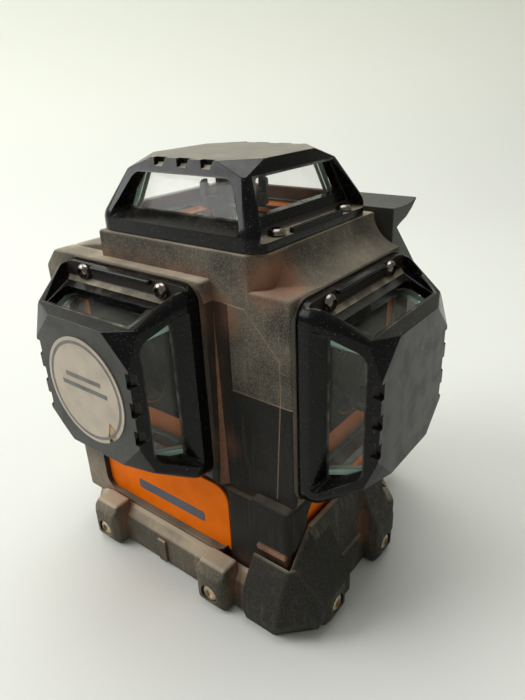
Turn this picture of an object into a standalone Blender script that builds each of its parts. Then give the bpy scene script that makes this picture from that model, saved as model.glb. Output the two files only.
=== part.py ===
"""A self-levelling line laser with three all-round turrets, as an assembly of separate pieces.

Units are metres and +Z is up. The front turret faces -Y, the side turret +X and the top turret +Z.
Pieces are placed about the plumb axis, the vertical line through the top turret and the tripod bush.
"""
import math

import bmesh
import bpy
from mathutils import Matrix, Vector

# Clearances
GAP = 0.0003
KEY_GAP = 0.0004

# Housing, measured from the plumb axis and from the ground
LEFT = 0.060
SIDE_SEAT = 0.0426
LOWER_RIGHT = 0.041
FRONT_SEAT = 0.034
FRONT_CORNER = 0.030
LOWER_FRONT = 0.032
BACK = 0.033
STEP_X = 0.0152
TOP_SEAT_Z = 0.1224
SHELL_BOTTOM = 0.012
LOWER_TOP_Z = 0.0465
WALL = 0.003
SHOULDER_DROP = 0.0085
SHOULDER_CHAMFER = 0.006
LEDGE_DROP = 0.0099
CORNER_TAB = (0.027, 0.0243, 0.0155, 0.0215)
TAB_PROUD = 0.0015

# Turrets: u runs across the notched sides, v across the screwed sides, w out of the housing
FRONT_TURRET = (-0.0153, 0.081)
SIDE_TURRET = (0.0005, 0.0795)
CAGE_BASE_U = 0.0295
CAGE_BASE_V = 0.032
CAGE_CORNER = 0.005
CAGE_H = 0.0216
CAGE_FOOT = 0.005
PLATE = 0.0036
FLANGE = 0.0025
RIM_U = 0.0229
RIM_V = 0.0233
FACE_INSET = 0.0012
FACE_CORNER = 0.0095
CAGE_WALL = 0.0033
CHANNEL_WALL = 0.0027
SILL = 0.0055
FLANGE_DEPTH = 0.0055
GUSSET = 0.0042
POST = 0.004
WINDOW_CORNER = 0.0016
WINDOW_HEAD = 0.0015
WINDOW_INSET = 0.001
NOTCH = 0.0042
NOTCH_PITCH = 0.0093
NOTCH_DEPTH = 0.0018
PANE = 0.0015
DECK = 0.0015
DECK_HOLE = 0.013
SCREW_U = 0.0177
SCREW_V = 0.0293
SCREW_HEAD_R = 0.0026
SCREW_HEAD_H = 0.0018
SCREW_HEAD_ARC = ((0.62, 0.94), (0.9, 0.6))
SCREW_SHANK_R = 0.0012
SCREW_REACH = 0.006
STICKER_R = 0.0175
STICKER_T = 0.0003

# Bumper and base
SKIRT = 0.007
SKIRT_TOP = 0.0155
SKIRT_CORNER = 0.010
SKIRT_NEAR_LEFT = 0.018
SKIRT_SLOPE = 0.0042
LUG_OUT = 0.0058
LUG_W = 0.0137
LUG_H = 0.0178
LUG_FOOT = (0.8, 0.6, 0.2)
LUG_HEAD = (0.85, 0.5, 0.75)
LUG_X = (-0.0385, 0.0163)
LUG_Y = (-0.0225, 0.0115)
LUG_Y_LEFT = (-0.006, 0.020)
LUG_SCREW_Z = 0.0068
LUG_SCREW_R = 0.0032
LUG_SCREW_H = 0.0016
LUG_SCREW_REACH = 0.006
CORNER_BLOCK_X = 0.0285
CORNER_BLOCK_Y = 0.0145
CORNER_BLOCK_H = 0.021
CORNER_BLOCK_OUT = 0.00435
CORNER_BLOCK_ROWS = ((0.0, 0.75), (0.35, 0.97), (0.65, 1.0), (1.0, 0.32))
SIDE_WALL_Y = (-0.024, 0.022)
SIDE_WALL_ROWS = ((0.002, 0.0055), (0.026, 0.0055), (0.0355, 0.0032))
BUTTRESS_ROWS = ((0.008, 0.95, 0.0125), (0.0165, 0.95, 0.0125), (0.0348, 0.8, 0.0035))
BASE_LEDGE = 0.004
BASE_PLATE = 0.003
BUSH_R = 0.011
BUSH_FLANGE_R = 0.014
BUSH_FLANGE = 0.0017
BUSH_BORE = 0.00794
BUSH_FOOT = 0.0025

# Labels
LABEL_T = 0.0008
LABEL_DEPTH = 0.002
FRONT_LABEL = (-0.047, 0.017)
SIDE_LABEL = (-0.0235, 0.024)
LABEL_FOOT_Z = 0.0165
LABEL_CORNER = 0.006

# Rear console, keypad and battery
CONSOLE_LEFT = 0.038
CONSOLE_RIGHT = 0.039
CONSOLE_DEPTH = 0.0267
CONSOLE_BOTTOM = 0.019
SLOPE_START = 0.0035
SLOPE_DROP = 0.0054
SLOPE_FALL = 0.023
LIP_RISE = 0.002
LIP_REACH = 0.0175
LIP_T = 0.005
LIP_UNDER = ((0.18, 0.5), (0.42, 1.0))
LIP_TOP = ((0.6, 0.22), (0.0, 0.1))
LIP_ROOT = (0.0015, 0.00075)
KEYPAD_W = 0.056
KEYPAD_L = 0.019
KEYPAD_T = 0.0016
KEYPAD_POCKET = 0.0042
KEY_R = 0.0042
KEY_CROWN = 0.8
KEY_FLANGE_R = 0.005
KEY_PROUD = 0.0012
KEY_TRAVEL = 0.0008
KEY_PITCH = 0.0125
KEY_NAMES = ("power_key", "level_line_key", "upright_line_key", "pulse_key")
BAY_W = 0.060
BAY_H = 0.066
BAY_DEPTH = 0.0145
BAY_WALL = 0.0027
BAY_FOOT = 0.0035
PACK_PROUD = 0.002
PACK_FIT = 0.0005
PACK_SET = 0.0022
LATCH_W = 0.018
LATCH_H = 0.007
LATCH_T = 0.003
LATCH_TRAVEL = 0.003
LATCH_DROP = 0.0045
CONTACTS = 4
CONTACT = (0.0016, 0.0013, 0.009)
CONTACT_PITCH = 0.006
CONTACT_Z = 0.044
TERMINAL_MARGIN = 0.0009
PORT_INSET = 0.0075
PORT_Z = 0.065
PORT_W = 0.0045
PORT_L = 0.0105
PORT_DEPTH = 0.005
PORT_MARGIN = 0.0015
SOCKET_MARGIN = 0.001
FLAP_T = 0.0015
FLAP_MARGIN = 0.002
FLAP_HINGE = 0.6

# Lock
LOCK_Z = 0.042
LOCK_KNOB_R = 0.0095
LOCK_KNOB_H = 0.0055
LOCK_KNOB_ARC = ((0.8, 1.0), (0.92, 0.75))
LOCK_GRIP = (0.9, 0.5, 1.25)
LOCK_SHAFT_R = 0.0022
LOCK_PADDLE_R = 0.006
LOCK_BOSS_R = 0.00308
LOCK_PADDLE_T = 0.0035
LOCK_PADDLE_X = 0.0125

# Gimbal and pendulum
GIMBAL_DROP = 0.0254
RING_R = 0.0205
RING_BORE = 0.0172
RING_H = 0.008
PIN_R = 0.0015
BEARING_R = 0.0025
BEARING_L = 0.003
CHASSIS_T = 0.0035
CHASSIS_Y = 0.022
EAR_X = 0.0232
EAR_T = 0.0035
EAR_W = 0.010
HUB_WALL = 0.003
BARREL_R = 0.007
BARREL_L = 0.033
BARREL_BACK = 0.001
SOCKET_WALL = 0.002
SOCKET_L = 0.016
STEM_HALF = 0.005
WEIGHT_X = 0.018
WEIGHT_Y = 0.0263
WEIGHT_H = 0.0195
DAMPER_R = 0.017
DAMPER_T = 0.003
DAMPER_Z = 0.0285
MAGNET_R = 0.016
MAGNET_TOP = 0.0258
CASTLE_R = 0.0072
CASTLE_BORE = 0.0052
CASTLE_FOOT = 0.0035
CASTLE_CLEAR = 0.0039
CASTLE_CAP = 0.0016
CASTLE_OPENING = 0.0068
MIRROR_R = 0.0044
MIRROR_L = 0.0062
BOARD_T = 0.0016
BOARD_MARGIN = 0.003

# Places worked out from the sizes above
CAGE_RIM_W = CAGE_H - PLATE
CASTLE_TOP = CAGE_RIM_W - CASTLE_CLEAR - CASTLE_CAP
HUB_HALF = BARREL_R + HUB_WALL
CHASSIS_X = SCREW_V - SCREW_SHANK_R - 2 * GAP
GIMBAL_Z = TOP_SEAT_Z - GIMBAL_DROP
LEDGE_Z = TOP_SEAT_Z - LEDGE_DROP
SHOULDER_Z = TOP_SEAT_Z - SHOULDER_DROP
CONSOLE_FRONT = BACK + GAP
CONSOLE_BACK = CONSOLE_FRONT + CONSOLE_DEPTH
BAY_FRONT = CONSOLE_BACK - BAY_DEPTH
PORT_Y = CONSOLE_BACK - PORT_INSET
SLOPE_TOP_Y = CONSOLE_FRONT + SLOPE_START
SLOPE_TOP_Z = TOP_SEAT_Z - SLOPE_DROP
SLOPE_FOOT_Z = SLOPE_TOP_Z - SLOPE_FALL
PACK_BACK = CONSOLE_BACK + PACK_PROUD
PACK_FRONT = BAY_FRONT + PACK_SET
BAY_X = (CONSOLE_RIGHT - CONSOLE_LEFT) / 2
BAY_BOTTOM = CONSOLE_BOTTOM + BAY_FOOT
BASE_TOP = SHELL_BOTTOM + BASE_PLATE
X_LOW = -(LEFT + SKIRT + LUG_OUT)
X_HIGH = SIDE_SEAT + GAP + CAGE_H
Y_LOW = -(FRONT_SEAT + CAGE_H + STICKER_T + 2 * GAP)
Y_HIGH = PACK_BACK
SIDES = 16
FINE_SIDES = 32
SMALL_SIDES = 12
BARREL_SIDES = 24
BEVEL_ANGLE = math.radians(40)
SMOOTH_ANGLE = math.radians(35)
WELD = 1e-6


def reset_scene():
    for item in list(bpy.data.objects):
        bpy.data.objects.remove(item, do_unlink=True)


def new_collection(name):
    made = bpy.data.collections.new(name)
    bpy.context.scene.collection.children.link(made)
    return made


reset_scene()
PARTS = new_collection("line_laser_level")
CUTTERS = new_collection("cutters")


def look(name, colour, roughness, metallic=0.0):
    made = bpy.data.materials.new(name)
    made.use_nodes = True
    shader = made.node_tree.nodes["Principled BSDF"]
    shader.inputs["Base Color"].default_value = (*colour, 1.0)
    shader.inputs["Roughness"].default_value = roughness
    shader.inputs["Metallic"].default_value = metallic
    return made


def empty(name, parent=None, at=(0, 0, 0), axes=None):
    made = bpy.data.objects.new(name, None)
    made.parent = parent
    if axes:
        made.matrix_local = Matrix.Translation(at) @ Matrix(axes).transposed().to_4x4()
    else:
        made.location = at
    PARTS.objects.link(made)
    return made


ROOT = empty("plumb_axis", at=(-(X_LOW + X_HIGH) / 2, -(Y_LOW + Y_HIGH) / 2, 0))
SEATS = {
    "front": empty("front_seat", ROOT, (FRONT_TURRET[0], -FRONT_SEAT - GAP, FRONT_TURRET[1]),
                   ((1, 0, 0), (0, 0, 1), (0, -1, 0))),
    "side": empty("side_seat", ROOT, (SIDE_SEAT + GAP, SIDE_TURRET[0], SIDE_TURRET[1]),
                  ((0, 1, 0), (0, 0, 1), (1, 0, 0))),
    "top": empty("top_seat", ROOT, (0, 0, TOP_SEAT_Z + GAP), ((0, 1, 0), (-1, 0, 0), (0, 0, 1))),
}
GIMBAL = empty("gimbal_centre", ROOT, (0, 0, GIMBAL_Z))


def add(name, mesh, finish=None, parent=ROOT, at=(0, 0, 0), turn=(0, 0, 0)):
    """Add a piece, or a cutter where no finish is given."""
    made = bpy.data.objects.new(name, mesh)
    made.parent = parent
    made.location = at
    made.rotation_euler = turn
    if finish:
        PARTS.objects.link(made)
        if not mesh.materials:
            mesh.materials.append(finish)
    else:
        CUTTERS.objects.link(made)
        made.hide_render = True
        made.display_type = "WIRE"
    return made


def to_mesh(name, bm):
    mesh = bpy.data.meshes.new(name)
    bm.to_mesh(mesh)
    bm.free()
    return mesh


def evaluated_mesh(obj):
    """The mesh that an object's modifiers or curve give, welded, with the object removed."""
    bpy.context.view_layer.update()
    graph = bpy.context.evaluated_depsgraph_get()
    mesh = bpy.data.meshes.new_from_object(obj.evaluated_get(graph))
    bm = bmesh.new()
    bm.from_mesh(mesh)
    bmesh.ops.remove_doubles(bm, verts=bm.verts, dist=WELD)
    bmesh.ops.recalc_face_normals(bm, faces=bm.faces)
    bm.to_mesh(mesh)
    bm.free()
    bpy.data.objects.remove(obj, do_unlink=True)
    return mesh


def boolean(obj, tool, operation):
    change = obj.modifiers.new(f"{operation.lower()}_{tool.name}", "BOOLEAN")
    change.operation = operation
    change.solver = "EXACT"
    change.object = tool


def cut(obj, tool):
    boolean(obj, tool, "DIFFERENCE")


def fuse(obj, tool):
    boolean(obj, tool, "UNION")


def round_edges(obj, width):
    bevel = obj.modifiers.new("round_edges", "BEVEL")
    bevel.width = width
    bevel.segments = 1
    bevel.limit_method = "ANGLE"
    bevel.angle_limit = BEVEL_ANGLE


def box(name, low, high, finish=None, parent=ROOT):
    low, high = Vector(low), Vector(high)
    bm = bmesh.new()
    bmesh.ops.create_cube(bm, size=1)
    bmesh.ops.scale(bm, verts=bm.verts, vec=high - low)
    return add(name, to_mesh(name, bm), finish, parent, (low + high) / 2)


def arc(centre, radius, start, end, steps):
    """Points of an arc, angles in degrees."""
    angles = [math.radians(start + (end - start) * i / steps) for i in range(steps + 1)]
    return [(centre[0] + radius * math.cos(a), centre[1] + radius * math.sin(a)) for a in angles]


def rounded_rectangle(half_u, half_v, radius, steps=3):
    points = []
    for k, (su, sv) in enumerate(((1, 1), (-1, 1), (-1, -1), (1, -1))):
        centre = (su * (half_u - radius), sv * (half_v - radius))
        points += arc(centre, radius, 90 * k, 90 * k + 90, steps)
    return points


def cornered(half_u, half_v, corner):
    """A rectangle with its corners cut off."""
    return [(half_u, half_v - corner), (half_u - corner, half_v), (corner - half_u, half_v),
            (-half_u, half_v - corner), (-half_u, corner - half_v), (corner - half_u, -half_v),
            (half_u - corner, -half_v), (half_u, corner - half_v)]


def plate_mesh(name, outline, thickness):
    """A flat outline in X and Y, with its thickness centred on Z."""
    curve = bpy.data.curves.new(name, "CURVE")
    curve.dimensions = "2D"
    curve.fill_mode = "BOTH"
    curve.extrude = thickness / 2
    spline = curve.splines.new("POLY")
    spline.points.add(len(outline) - 1)
    for point, (x, y) in zip(spline.points, outline):
        point.co = (x, y, 0, 1)
    spline.use_cyclic_u = True
    guide = bpy.data.objects.new(name, curve)
    CUTTERS.objects.link(guide)
    return evaluated_mesh(guide)


def plate_along_x(name, outline, low, high, finish=None):
    """An outline in Y and Z, drawn out along X from low to high."""
    mesh = plate_mesh(name, outline, high - low)
    return add(name, mesh, finish, ROOT, ((low + high) / 2, 0, 0), (math.pi / 2, 0, math.pi / 2))


def plate_along_y(name, outline, low, high, finish=None):
    """An outline in X and Z, drawn out along Y from low to high."""
    mesh = plate_mesh(name, outline, high - low)
    return add(name, mesh, finish, ROOT, (0, (low + high) / 2, 0), (math.pi / 2, 0, 0))


def turned_mesh(name, profile, sides=SIDES):
    """A profile of (radius, height) points, top to bottom, turned about Z."""
    bm = bmesh.new()
    verts = [bm.verts.new((r, 0, z)) for r, z in profile]
    for a, b in zip(verts, verts[1:]):
        bm.edges.new((a, b))
    guide = bpy.data.objects.new(name, to_mesh(name, bm))
    CUTTERS.objects.link(guide)
    screw = guide.modifiers.new("turn", "SCREW")
    screw.steps = screw.render_steps = sides
    screw.use_merge_vertices = True
    screw.merge_threshold = WELD
    mesh = evaluated_mesh(guide)
    mesh.shade_smooth()
    mesh.set_sharp_from_angle(angle=SMOOTH_ANGLE)
    return mesh


def disc_profile(radius, low, high, bore=0.0):
    """The profile of a disc, or of a ring where it has a bore."""
    if bore:
        return [(bore, high), (radius, high), (radius, low), (bore, low), (bore, high)]
    return [(0, high), (radius, high), (radius, low), (0, low)]


def hull_mesh(name, layers):
    """The convex hull of outlines, each given with its height."""
    bm = bmesh.new()
    for outline, height in layers:
        for x, y in outline:
            bm.verts.new((x, y, height))
    bmesh.ops.convex_hull(bm, input=bm.verts)
    bmesh.ops.delete(bm, geom=[v for v in bm.verts if not v.link_faces], context="VERTS")
    bmesh.ops.dissolve_limit(bm, angle_limit=math.radians(0.5), verts=bm.verts, edges=bm.edges)
    bmesh.ops.recalc_face_normals(bm, faces=bm.faces)
    return to_mesh(name, bm)


def copies_mesh(name, mesh, places):
    """Copies of one closed shape, as separate solids of one mesh."""
    bm = bmesh.new()
    for place in places:
        bm.from_mesh(mesh)
        bm.verts.ensure_lookup_table()
        bmesh.ops.transform(bm, matrix=place, verts=bm.verts[-len(mesh.vertices):])
    made = to_mesh(name, bm)
    made.shade_smooth()
    made.set_sharp_from_angle(angle=SMOOTH_ANGLE)
    return made


def at_points(points):
    return [Matrix.Translation(point) for point in points]


RUBBER = look("grey_rubber", (0.12, 0.11, 0.10), 0.85)
DARK_PLASTIC = look("dark_plastic", (0.05, 0.055, 0.05), 0.5)
GLOSS_BLACK = look("gloss_black", (0.02, 0.022, 0.025), 0.28)
ORANGE = look("orange_label", (0.72, 0.20, 0.02), 0.45)
DECK_ORANGE = look("orange_deck", (0.62, 0.16, 0.03), 0.6)
GLASS = look("pane_glass", (0.75, 0.85, 0.82), 0.05)
STEEL = look("bright_steel", (0.62, 0.62, 0.60), 0.25, 1.0)
BRASS = look("brass", (0.70, 0.52, 0.25), 0.35, 1.0)
CREAM = look("cream_paper", (0.80, 0.77, 0.68), 0.7)
SOFT_GREY = look("soft_grey", (0.20, 0.20, 0.20), 0.7)
ALUMINIUM = look("aluminium", (0.65, 0.66, 0.67), 0.4, 1.0)
COPPER = look("copper", (0.72, 0.40, 0.26), 0.4, 1.0)
MIRROR = look("mirror", (0.9, 0.9, 0.9), 0.05, 1.0)
MAGNET = look("magnet", (0.45, 0.45, 0.46), 0.3, 1.0)
BOARD_GREEN = look("board_green", (0.03, 0.16, 0.08), 0.5)
HOLDER_GREY = look("holder_grey", (0.10, 0.11, 0.11), 0.6)


# Turret pieces, made once in (u, v, w) and shared by the three turrets
def cage_inner(w):
    """Half sizes of the space inside the cage at height w."""
    base = (CAGE_BASE_U - CAGE_WALL, CAGE_BASE_V - FLANGE_DEPTH - CHANNEL_WALL)
    top = (RIM_U - CAGE_WALL, RIM_V - CAGE_WALL)
    share = w / CAGE_RIM_W
    return tuple(b + (t - b) * share for b, t in zip(base, top))


def rectangle(half_u, half_v):
    return [(half_u, half_v), (-half_u, half_v), (-half_u, -half_v), (half_u, -half_v)]


def cage_shell():
    base = rounded_rectangle(CAGE_BASE_U, CAGE_BASE_V, CAGE_CORNER)
    face = cornered(RIM_U - FACE_INSET, RIM_V - FACE_INSET, FACE_CORNER)
    return hull_mesh("turret_cage", [(base, 0), (base, CAGE_FOOT), (rectangle(RIM_U, RIM_V), CAGE_RIM_W),
                                     (face, CAGE_H)])


def cage_cavity():
    low = -PLATE
    high = CAGE_RIM_W - GAP
    return hull_mesh("cage_cavity", [(rectangle(*cage_inner(low)), low),
                                     (rectangle(*cage_inner(high)), high)])


def flange_channels():
    """The two channels, between the gussets, that the flange screws stand in."""
    top = CAGE_RIM_W - GAP
    foot_v = CAGE_BASE_V - FLANGE_DEPTH
    head_v = cage_inner(top)[1] + CHANNEL_WALL
    outer = CAGE_BASE_V + PLATE
    foot_u = CAGE_BASE_U - GUSSET
    head_u = RIM_U - GUSSET
    bm = bmesh.new()
    for side in (1, -1):
        layers = [([(foot_u, side * foot_v), (-foot_u, side * foot_v),
                    (-foot_u, side * outer), (foot_u, side * outer)], FLANGE),
                  ([(head_u, side * head_v), (-head_u, side * head_v),
                    (-head_u, side * outer), (head_u, side * outer)], top)]
        bm.from_mesh(hull_mesh("channel", layers))
    return to_mesh("flange_channels", bm)


def window_outline(half_foot, half_head, foot, head):
    """A window that narrows upwards, with its corners rounded."""
    radius = WINDOW_CORNER
    lean = (half_foot - half_head) / (head - foot)
    low, high = foot + radius, head - radius
    low_x = half_foot - lean * radius - radius
    high_x = half_head + lean * radius - radius
    right = arc((low_x, low), radius, -90, 0, 3) + arc((high_x, high), radius, 0, 90, 3)
    return right + [(-x, y) for x, y in reversed(right)]


def cage_windows():
    """Two long cutters, one through both notched walls and one through both screwed walls."""
    foot, head = SILL, CAGE_RIM_W - WINDOW_HEAD
    across_u = window_outline(cage_inner(foot)[1] - POST / 2, cage_inner(head)[1] - POST / 3, foot, head)
    across_v = window_outline(cage_inner(foot)[0] - POST / 2 - WINDOW_INSET, cage_inner(head)[0] - POST / 3,
                              foot + FLANGE / 2, head)
    reach = 2 * (CAGE_BASE_V + PLATE)
    return (plate_mesh("window_u", across_u, reach), plate_mesh("window_v", across_v, reach))


def notch_cutter():
    """Three notches in each notched edge of the front plate."""
    bm = bmesh.new()
    for side in (1, -1):
        for k in (-1, 0, 1):
            made = bmesh.ops.create_cube(bm, size=1)
            inner = RIM_U - FACE_INSET / 2 - NOTCH_DEPTH
            bmesh.ops.scale(bm, verts=made["verts"], vec=(PLATE, NOTCH, 3 * PLATE))
            bmesh.ops.translate(bm, verts=made["verts"],
                                vec=(side * (inner + PLATE / 2), k * NOTCH_PITCH, CAGE_H))
    return to_mesh("plate_notches", bm)


def screw_points():
    return [(su * SCREW_U, sv * SCREW_V, 0) for su in (1, -1) for sv in (1, -1)]


def turret_screw_mesh():
    foot = FLANGE + GAP
    head = foot + SCREW_HEAD_H
    crown = [(SCREW_HEAD_R * r, foot + SCREW_HEAD_H * h) for r, h in SCREW_HEAD_ARC]
    profile = [(0, head), *crown, (SCREW_HEAD_R, foot), (SCREW_SHANK_R, foot), (SCREW_SHANK_R, -SCREW_REACH),
               (0, -SCREW_REACH)]
    return turned_mesh("turret_screw", profile, SMALL_SIDES)


def screw_hole_mesh(low, high):
    profile = disc_profile(SCREW_SHANK_R + GAP, low, high)
    return copies_mesh("screw_holes", turned_mesh("hole", profile, SMALL_SIDES), at_points(screw_points()))


def glass_layers(inset, foot, head):
    """Two outlines, foot and head, set in from the cage's inner walls."""
    layers = []
    for w in (foot, head):
        half_u, half_v = cage_inner(w)
        layers.append((rectangle(half_u - inset, half_v - inset), w))
    return layers


def glass_meshes():
    """Four panes joined at their corners, and the space inside them."""
    foot, head = DECK + 3 * GAP, CAGE_RIM_W - 3 * GAP
    outside = hull_mesh("turret_glass", glass_layers(GAP, foot, head))
    inside = hull_mesh("glass_space", glass_layers(GAP + PANE, foot - PANE, head + PANE))
    return outside, inside


def deck_mesh():
    half = cage_inner(DECK + 2 * GAP)
    outline = rounded_rectangle(half[0] - GAP, half[1] - GAP, CAGE_CORNER / 2)
    return plate_mesh("turret_deck", outline, DECK)


def build_turrets(body):
    shell, cavity, channels, notches = cage_shell(), cage_cavity(), flange_channels(), notch_cutter()
    windows = cage_windows()
    screw, deck = turret_screw_mesh(), deck_mesh()
    glass, glass_space = glass_meshes()
    flange_holes = screw_hole_mesh(-GAP, FLANGE + 2 * GAP)
    body_holes = screw_hole_mesh(-SCREW_REACH - 4 * GAP, GAP)
    deck_hole = turned_mesh("deck_hole", disc_profile(DECK_HOLE, -DECK, 3 * DECK), FINE_SIDES)
    beam_hole = turned_mesh("beam_hole", disc_profile(DECK_HOLE, -2.5 * WALL, GAP), FINE_SIDES)
    for side, seat in SEATS.items():
        cage = add(f"{side}_turret_cage", shell, GLOSS_BLACK, seat)
        cut(cage, add(f"{side}_cage_cavity", cavity, None, seat))
        cut(cage, add(f"{side}_flange_channels", channels, None, seat))
        cut(cage, add(f"{side}_window_u", windows[0], None, seat, (0, 0, 0), (math.pi / 2, 0, math.pi / 2)))
        cut(cage, add(f"{side}_window_v", windows[1], None, seat, (0, 0, 0), (math.pi / 2, 0, 0)))
        cut(cage, add(f"{side}_plate_notches", notches, None, seat))
        cut(cage, add(f"{side}_flange_holes", flange_holes, None, seat))
        panes = add(f"{side}_turret_glass", glass, GLASS, seat)
        cut(panes, add(f"{side}_glass_space", glass_space, None, seat))
        for k, point in enumerate(screw_points()):
            add(f"{side}_turret_screw_{k + 1}", screw, STEEL, seat, point)
        floor = add(f"{side}_turret_deck", deck, DECK_ORANGE, seat, (0, 0, GAP + DECK / 2))
        cut(floor, add(f"{side}_deck_hole", deck_hole, None, seat))
        cut(body, add(f"{side}_screw_bores", body_holes, None, seat))
        cut(body, add(f"{side}_beam_hole", beam_hole, None, seat))
    sticker = turned_mesh("inspection_sticker", disc_profile(STICKER_R, 0, STICKER_T), FINE_SIDES)
    add("inspection_sticker", sticker, CREAM, SEATS["front"], (0, 0, CAGE_H + GAP))


# Housing
def build_body():
    """The overmoulded shell, open at its foot, with a stepped front and a raised seat on top."""
    right, left = SIDE_SEAT, -LEFT
    pedestal = CAGE_BASE_V + 2 * GAP
    outline = [(left, SHELL_BOTTOM), (LOWER_RIGHT, SHELL_BOTTOM), (LOWER_RIGHT, LOWER_TOP_Z - SKIRT / 2),
               (right, LOWER_TOP_Z), (right, LEDGE_Z), (pedestal, TOP_SEAT_Z - 2 * GAP),
               (pedestal, TOP_SEAT_Z), (-pedestal, TOP_SEAT_Z), (-pedestal - WALL / 2, SHOULDER_Z + WALL),
               (left + SHOULDER_CHAMFER, SHOULDER_Z), (left, SHOULDER_Z - SHOULDER_CHAMFER)]
    body = plate_along_y("body_shell", outline, -FRONT_CORNER, BACK, RUBBER)
    front_top = FRONT_TURRET[1] + CAGE_BASE_V + WALL / 3
    front_outline = [(left, SHELL_BOTTOM), (STEP_X, SHELL_BOTTOM), (STEP_X, front_top),
                     (left + SHOULDER_CHAMFER, front_top), (left, front_top - SHOULDER_CHAMFER)]
    fuse(body, plate_along_y("front_block", front_outline, -FRONT_SEAT, -FRONT_CORNER + WALL))
    fuse(body, box("lower_corner_block", (STEP_X - WALL, -LOWER_FRONT, SHELL_BOTTOM),
                   (LOWER_RIGHT, -FRONT_CORNER + WALL, LOWER_TOP_Z - SKIRT / 2)))
    tab_x, tab_z, tab_w, tab_h = CORNER_TAB
    fuse(body, box("corner_tab", (tab_x, -LOWER_FRONT - TAB_PROUD, tab_z),
                   (LOWER_RIGHT + TAB_PROUD, -LOWER_FRONT + tab_w, tab_z + tab_h - WALL)))
    cut(body, box("main_cavity", (left + WALL, -FRONT_CORNER + WALL, 0),
                  (LOWER_RIGHT - WALL, BACK - WALL, SHOULDER_Z - SHOULDER_CHAMFER - WALL / 2)))
    cut(body, box("front_cavity", (left + 2 * WALL, -LOWER_FRONT + LABEL_DEPTH + WALL / 2, 0),
                  (STEP_X - WALL, 0, SHOULDER_Z - SHOULDER_CHAMFER - 2 * WALL)))
    cut(body, box("pedestal_cavity", (-pedestal + WALL, -FRONT_CORNER + 1.5 * WALL, SHOULDER_Z - 4 * WALL),
                  (pedestal - WALL, BACK - 1.5 * WALL, TOP_SEAT_Z - WALL)))
    cut(body, box("wiring_window", (BAY_X - BAY_W / 4, BACK - 2 * WALL, SHELL_BOTTOM + BAY_W / 2),
                  (BAY_X + BAY_W / 4, BACK + WALL, SHELL_BOTTOM + BAY_W)))
    cut(body, box("front_label_recess", (FRONT_LABEL[0], -FRONT_SEAT - WALL, LABEL_FOOT_Z),
                  (FRONT_LABEL[1], -LOWER_FRONT + LABEL_DEPTH / 2, LOWER_TOP_Z)))
    cut(body, box("side_label_recess", (LOWER_RIGHT - LABEL_DEPTH / 2, SIDE_LABEL[0], LABEL_FOOT_Z),
                  (SIDE_SEAT + WALL, SIDE_LABEL[1], LOWER_TOP_Z - SKIRT / 2)))
    shaft_hole = turned_mesh("lock_shaft_hole", disc_profile(LOCK_SHAFT_R + GAP, -3 * WALL, 3 * WALL))
    cut(body, add("lock_shaft_hole", shaft_hole, None, ROOT, (left, 0, LOCK_Z), (0, math.pi / 2, 0)))
    return body


def label_outline(low, high):
    """A label with its two upper corners rounded."""
    low, high, corner = low + GAP, high - GAP, LABEL_CORNER
    foot, head = LABEL_FOOT_Z + GAP, LOWER_TOP_Z - SKIRT / 2 - GAP
    outline = [(low, foot), (high, foot), (high, head - corner)]
    outline += arc((high - corner, head - corner), corner, 0, 90, 4)[1:]
    return outline + arc((low + corner, head - corner), corner, 90, 180, 4)


def build_labels():
    face = -LOWER_FRONT + LABEL_DEPTH / 2 - GAP
    plate_along_y("front_label", label_outline(*FRONT_LABEL), face - LABEL_T, face, ORANGE)
    face = LOWER_RIGHT - LABEL_DEPTH / 2 + GAP
    plate_along_x("side_label", label_outline(*SIDE_LABEL), face, face + LABEL_T, ORANGE)


# Bumper and base
def lug_places():
    """Each lug's outward direction and the middle of its foot on the skirt."""
    front, back = -LOWER_FRONT - SKIRT, BACK + SKIRT
    left, right = -LEFT - SKIRT, LOWER_RIGHT + SKIRT
    places = [(0, (x, front)) for x in LUG_X] + [(2, (x, back)) for x in LUG_X]
    return places + [(1, (right, y)) for y in LUG_Y] + [(3, (left, y)) for y in LUG_Y_LEFT]


def lug_matrix(quarter, foot):
    return Matrix.Translation((*foot, 0)) @ Matrix.Rotation(quarter * math.pi / 2, 4, "Z")


def lug_mesh():
    """A lug that draws in at its foot and at its head."""
    foot_wide, foot_out, foot_rise = LUG_FOOT
    head_wide, head_out, head_start = LUG_HEAD
    layers = []
    for wide, out, height in ((foot_wide, foot_out, 0), (1, 1, foot_rise), (1, 1, head_start),
                              (head_wide, head_out, 1)):
        half, far, deep = LUG_W / 2 * wide, -LUG_OUT * out, SKIRT / 2
        layers.append(([(-half, deep), (half, deep), (half, far), (-half, far)], LUG_H * height))
    return hull_mesh("lug", layers)


def side_outline(reach, low_y, high_y):
    """A rectangle that stands out from the body's lower right side."""
    near, far = LOWER_RIGHT, LOWER_RIGHT + reach
    return [(near, low_y), (far, low_y), (far, high_y), (near, high_y)]


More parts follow.
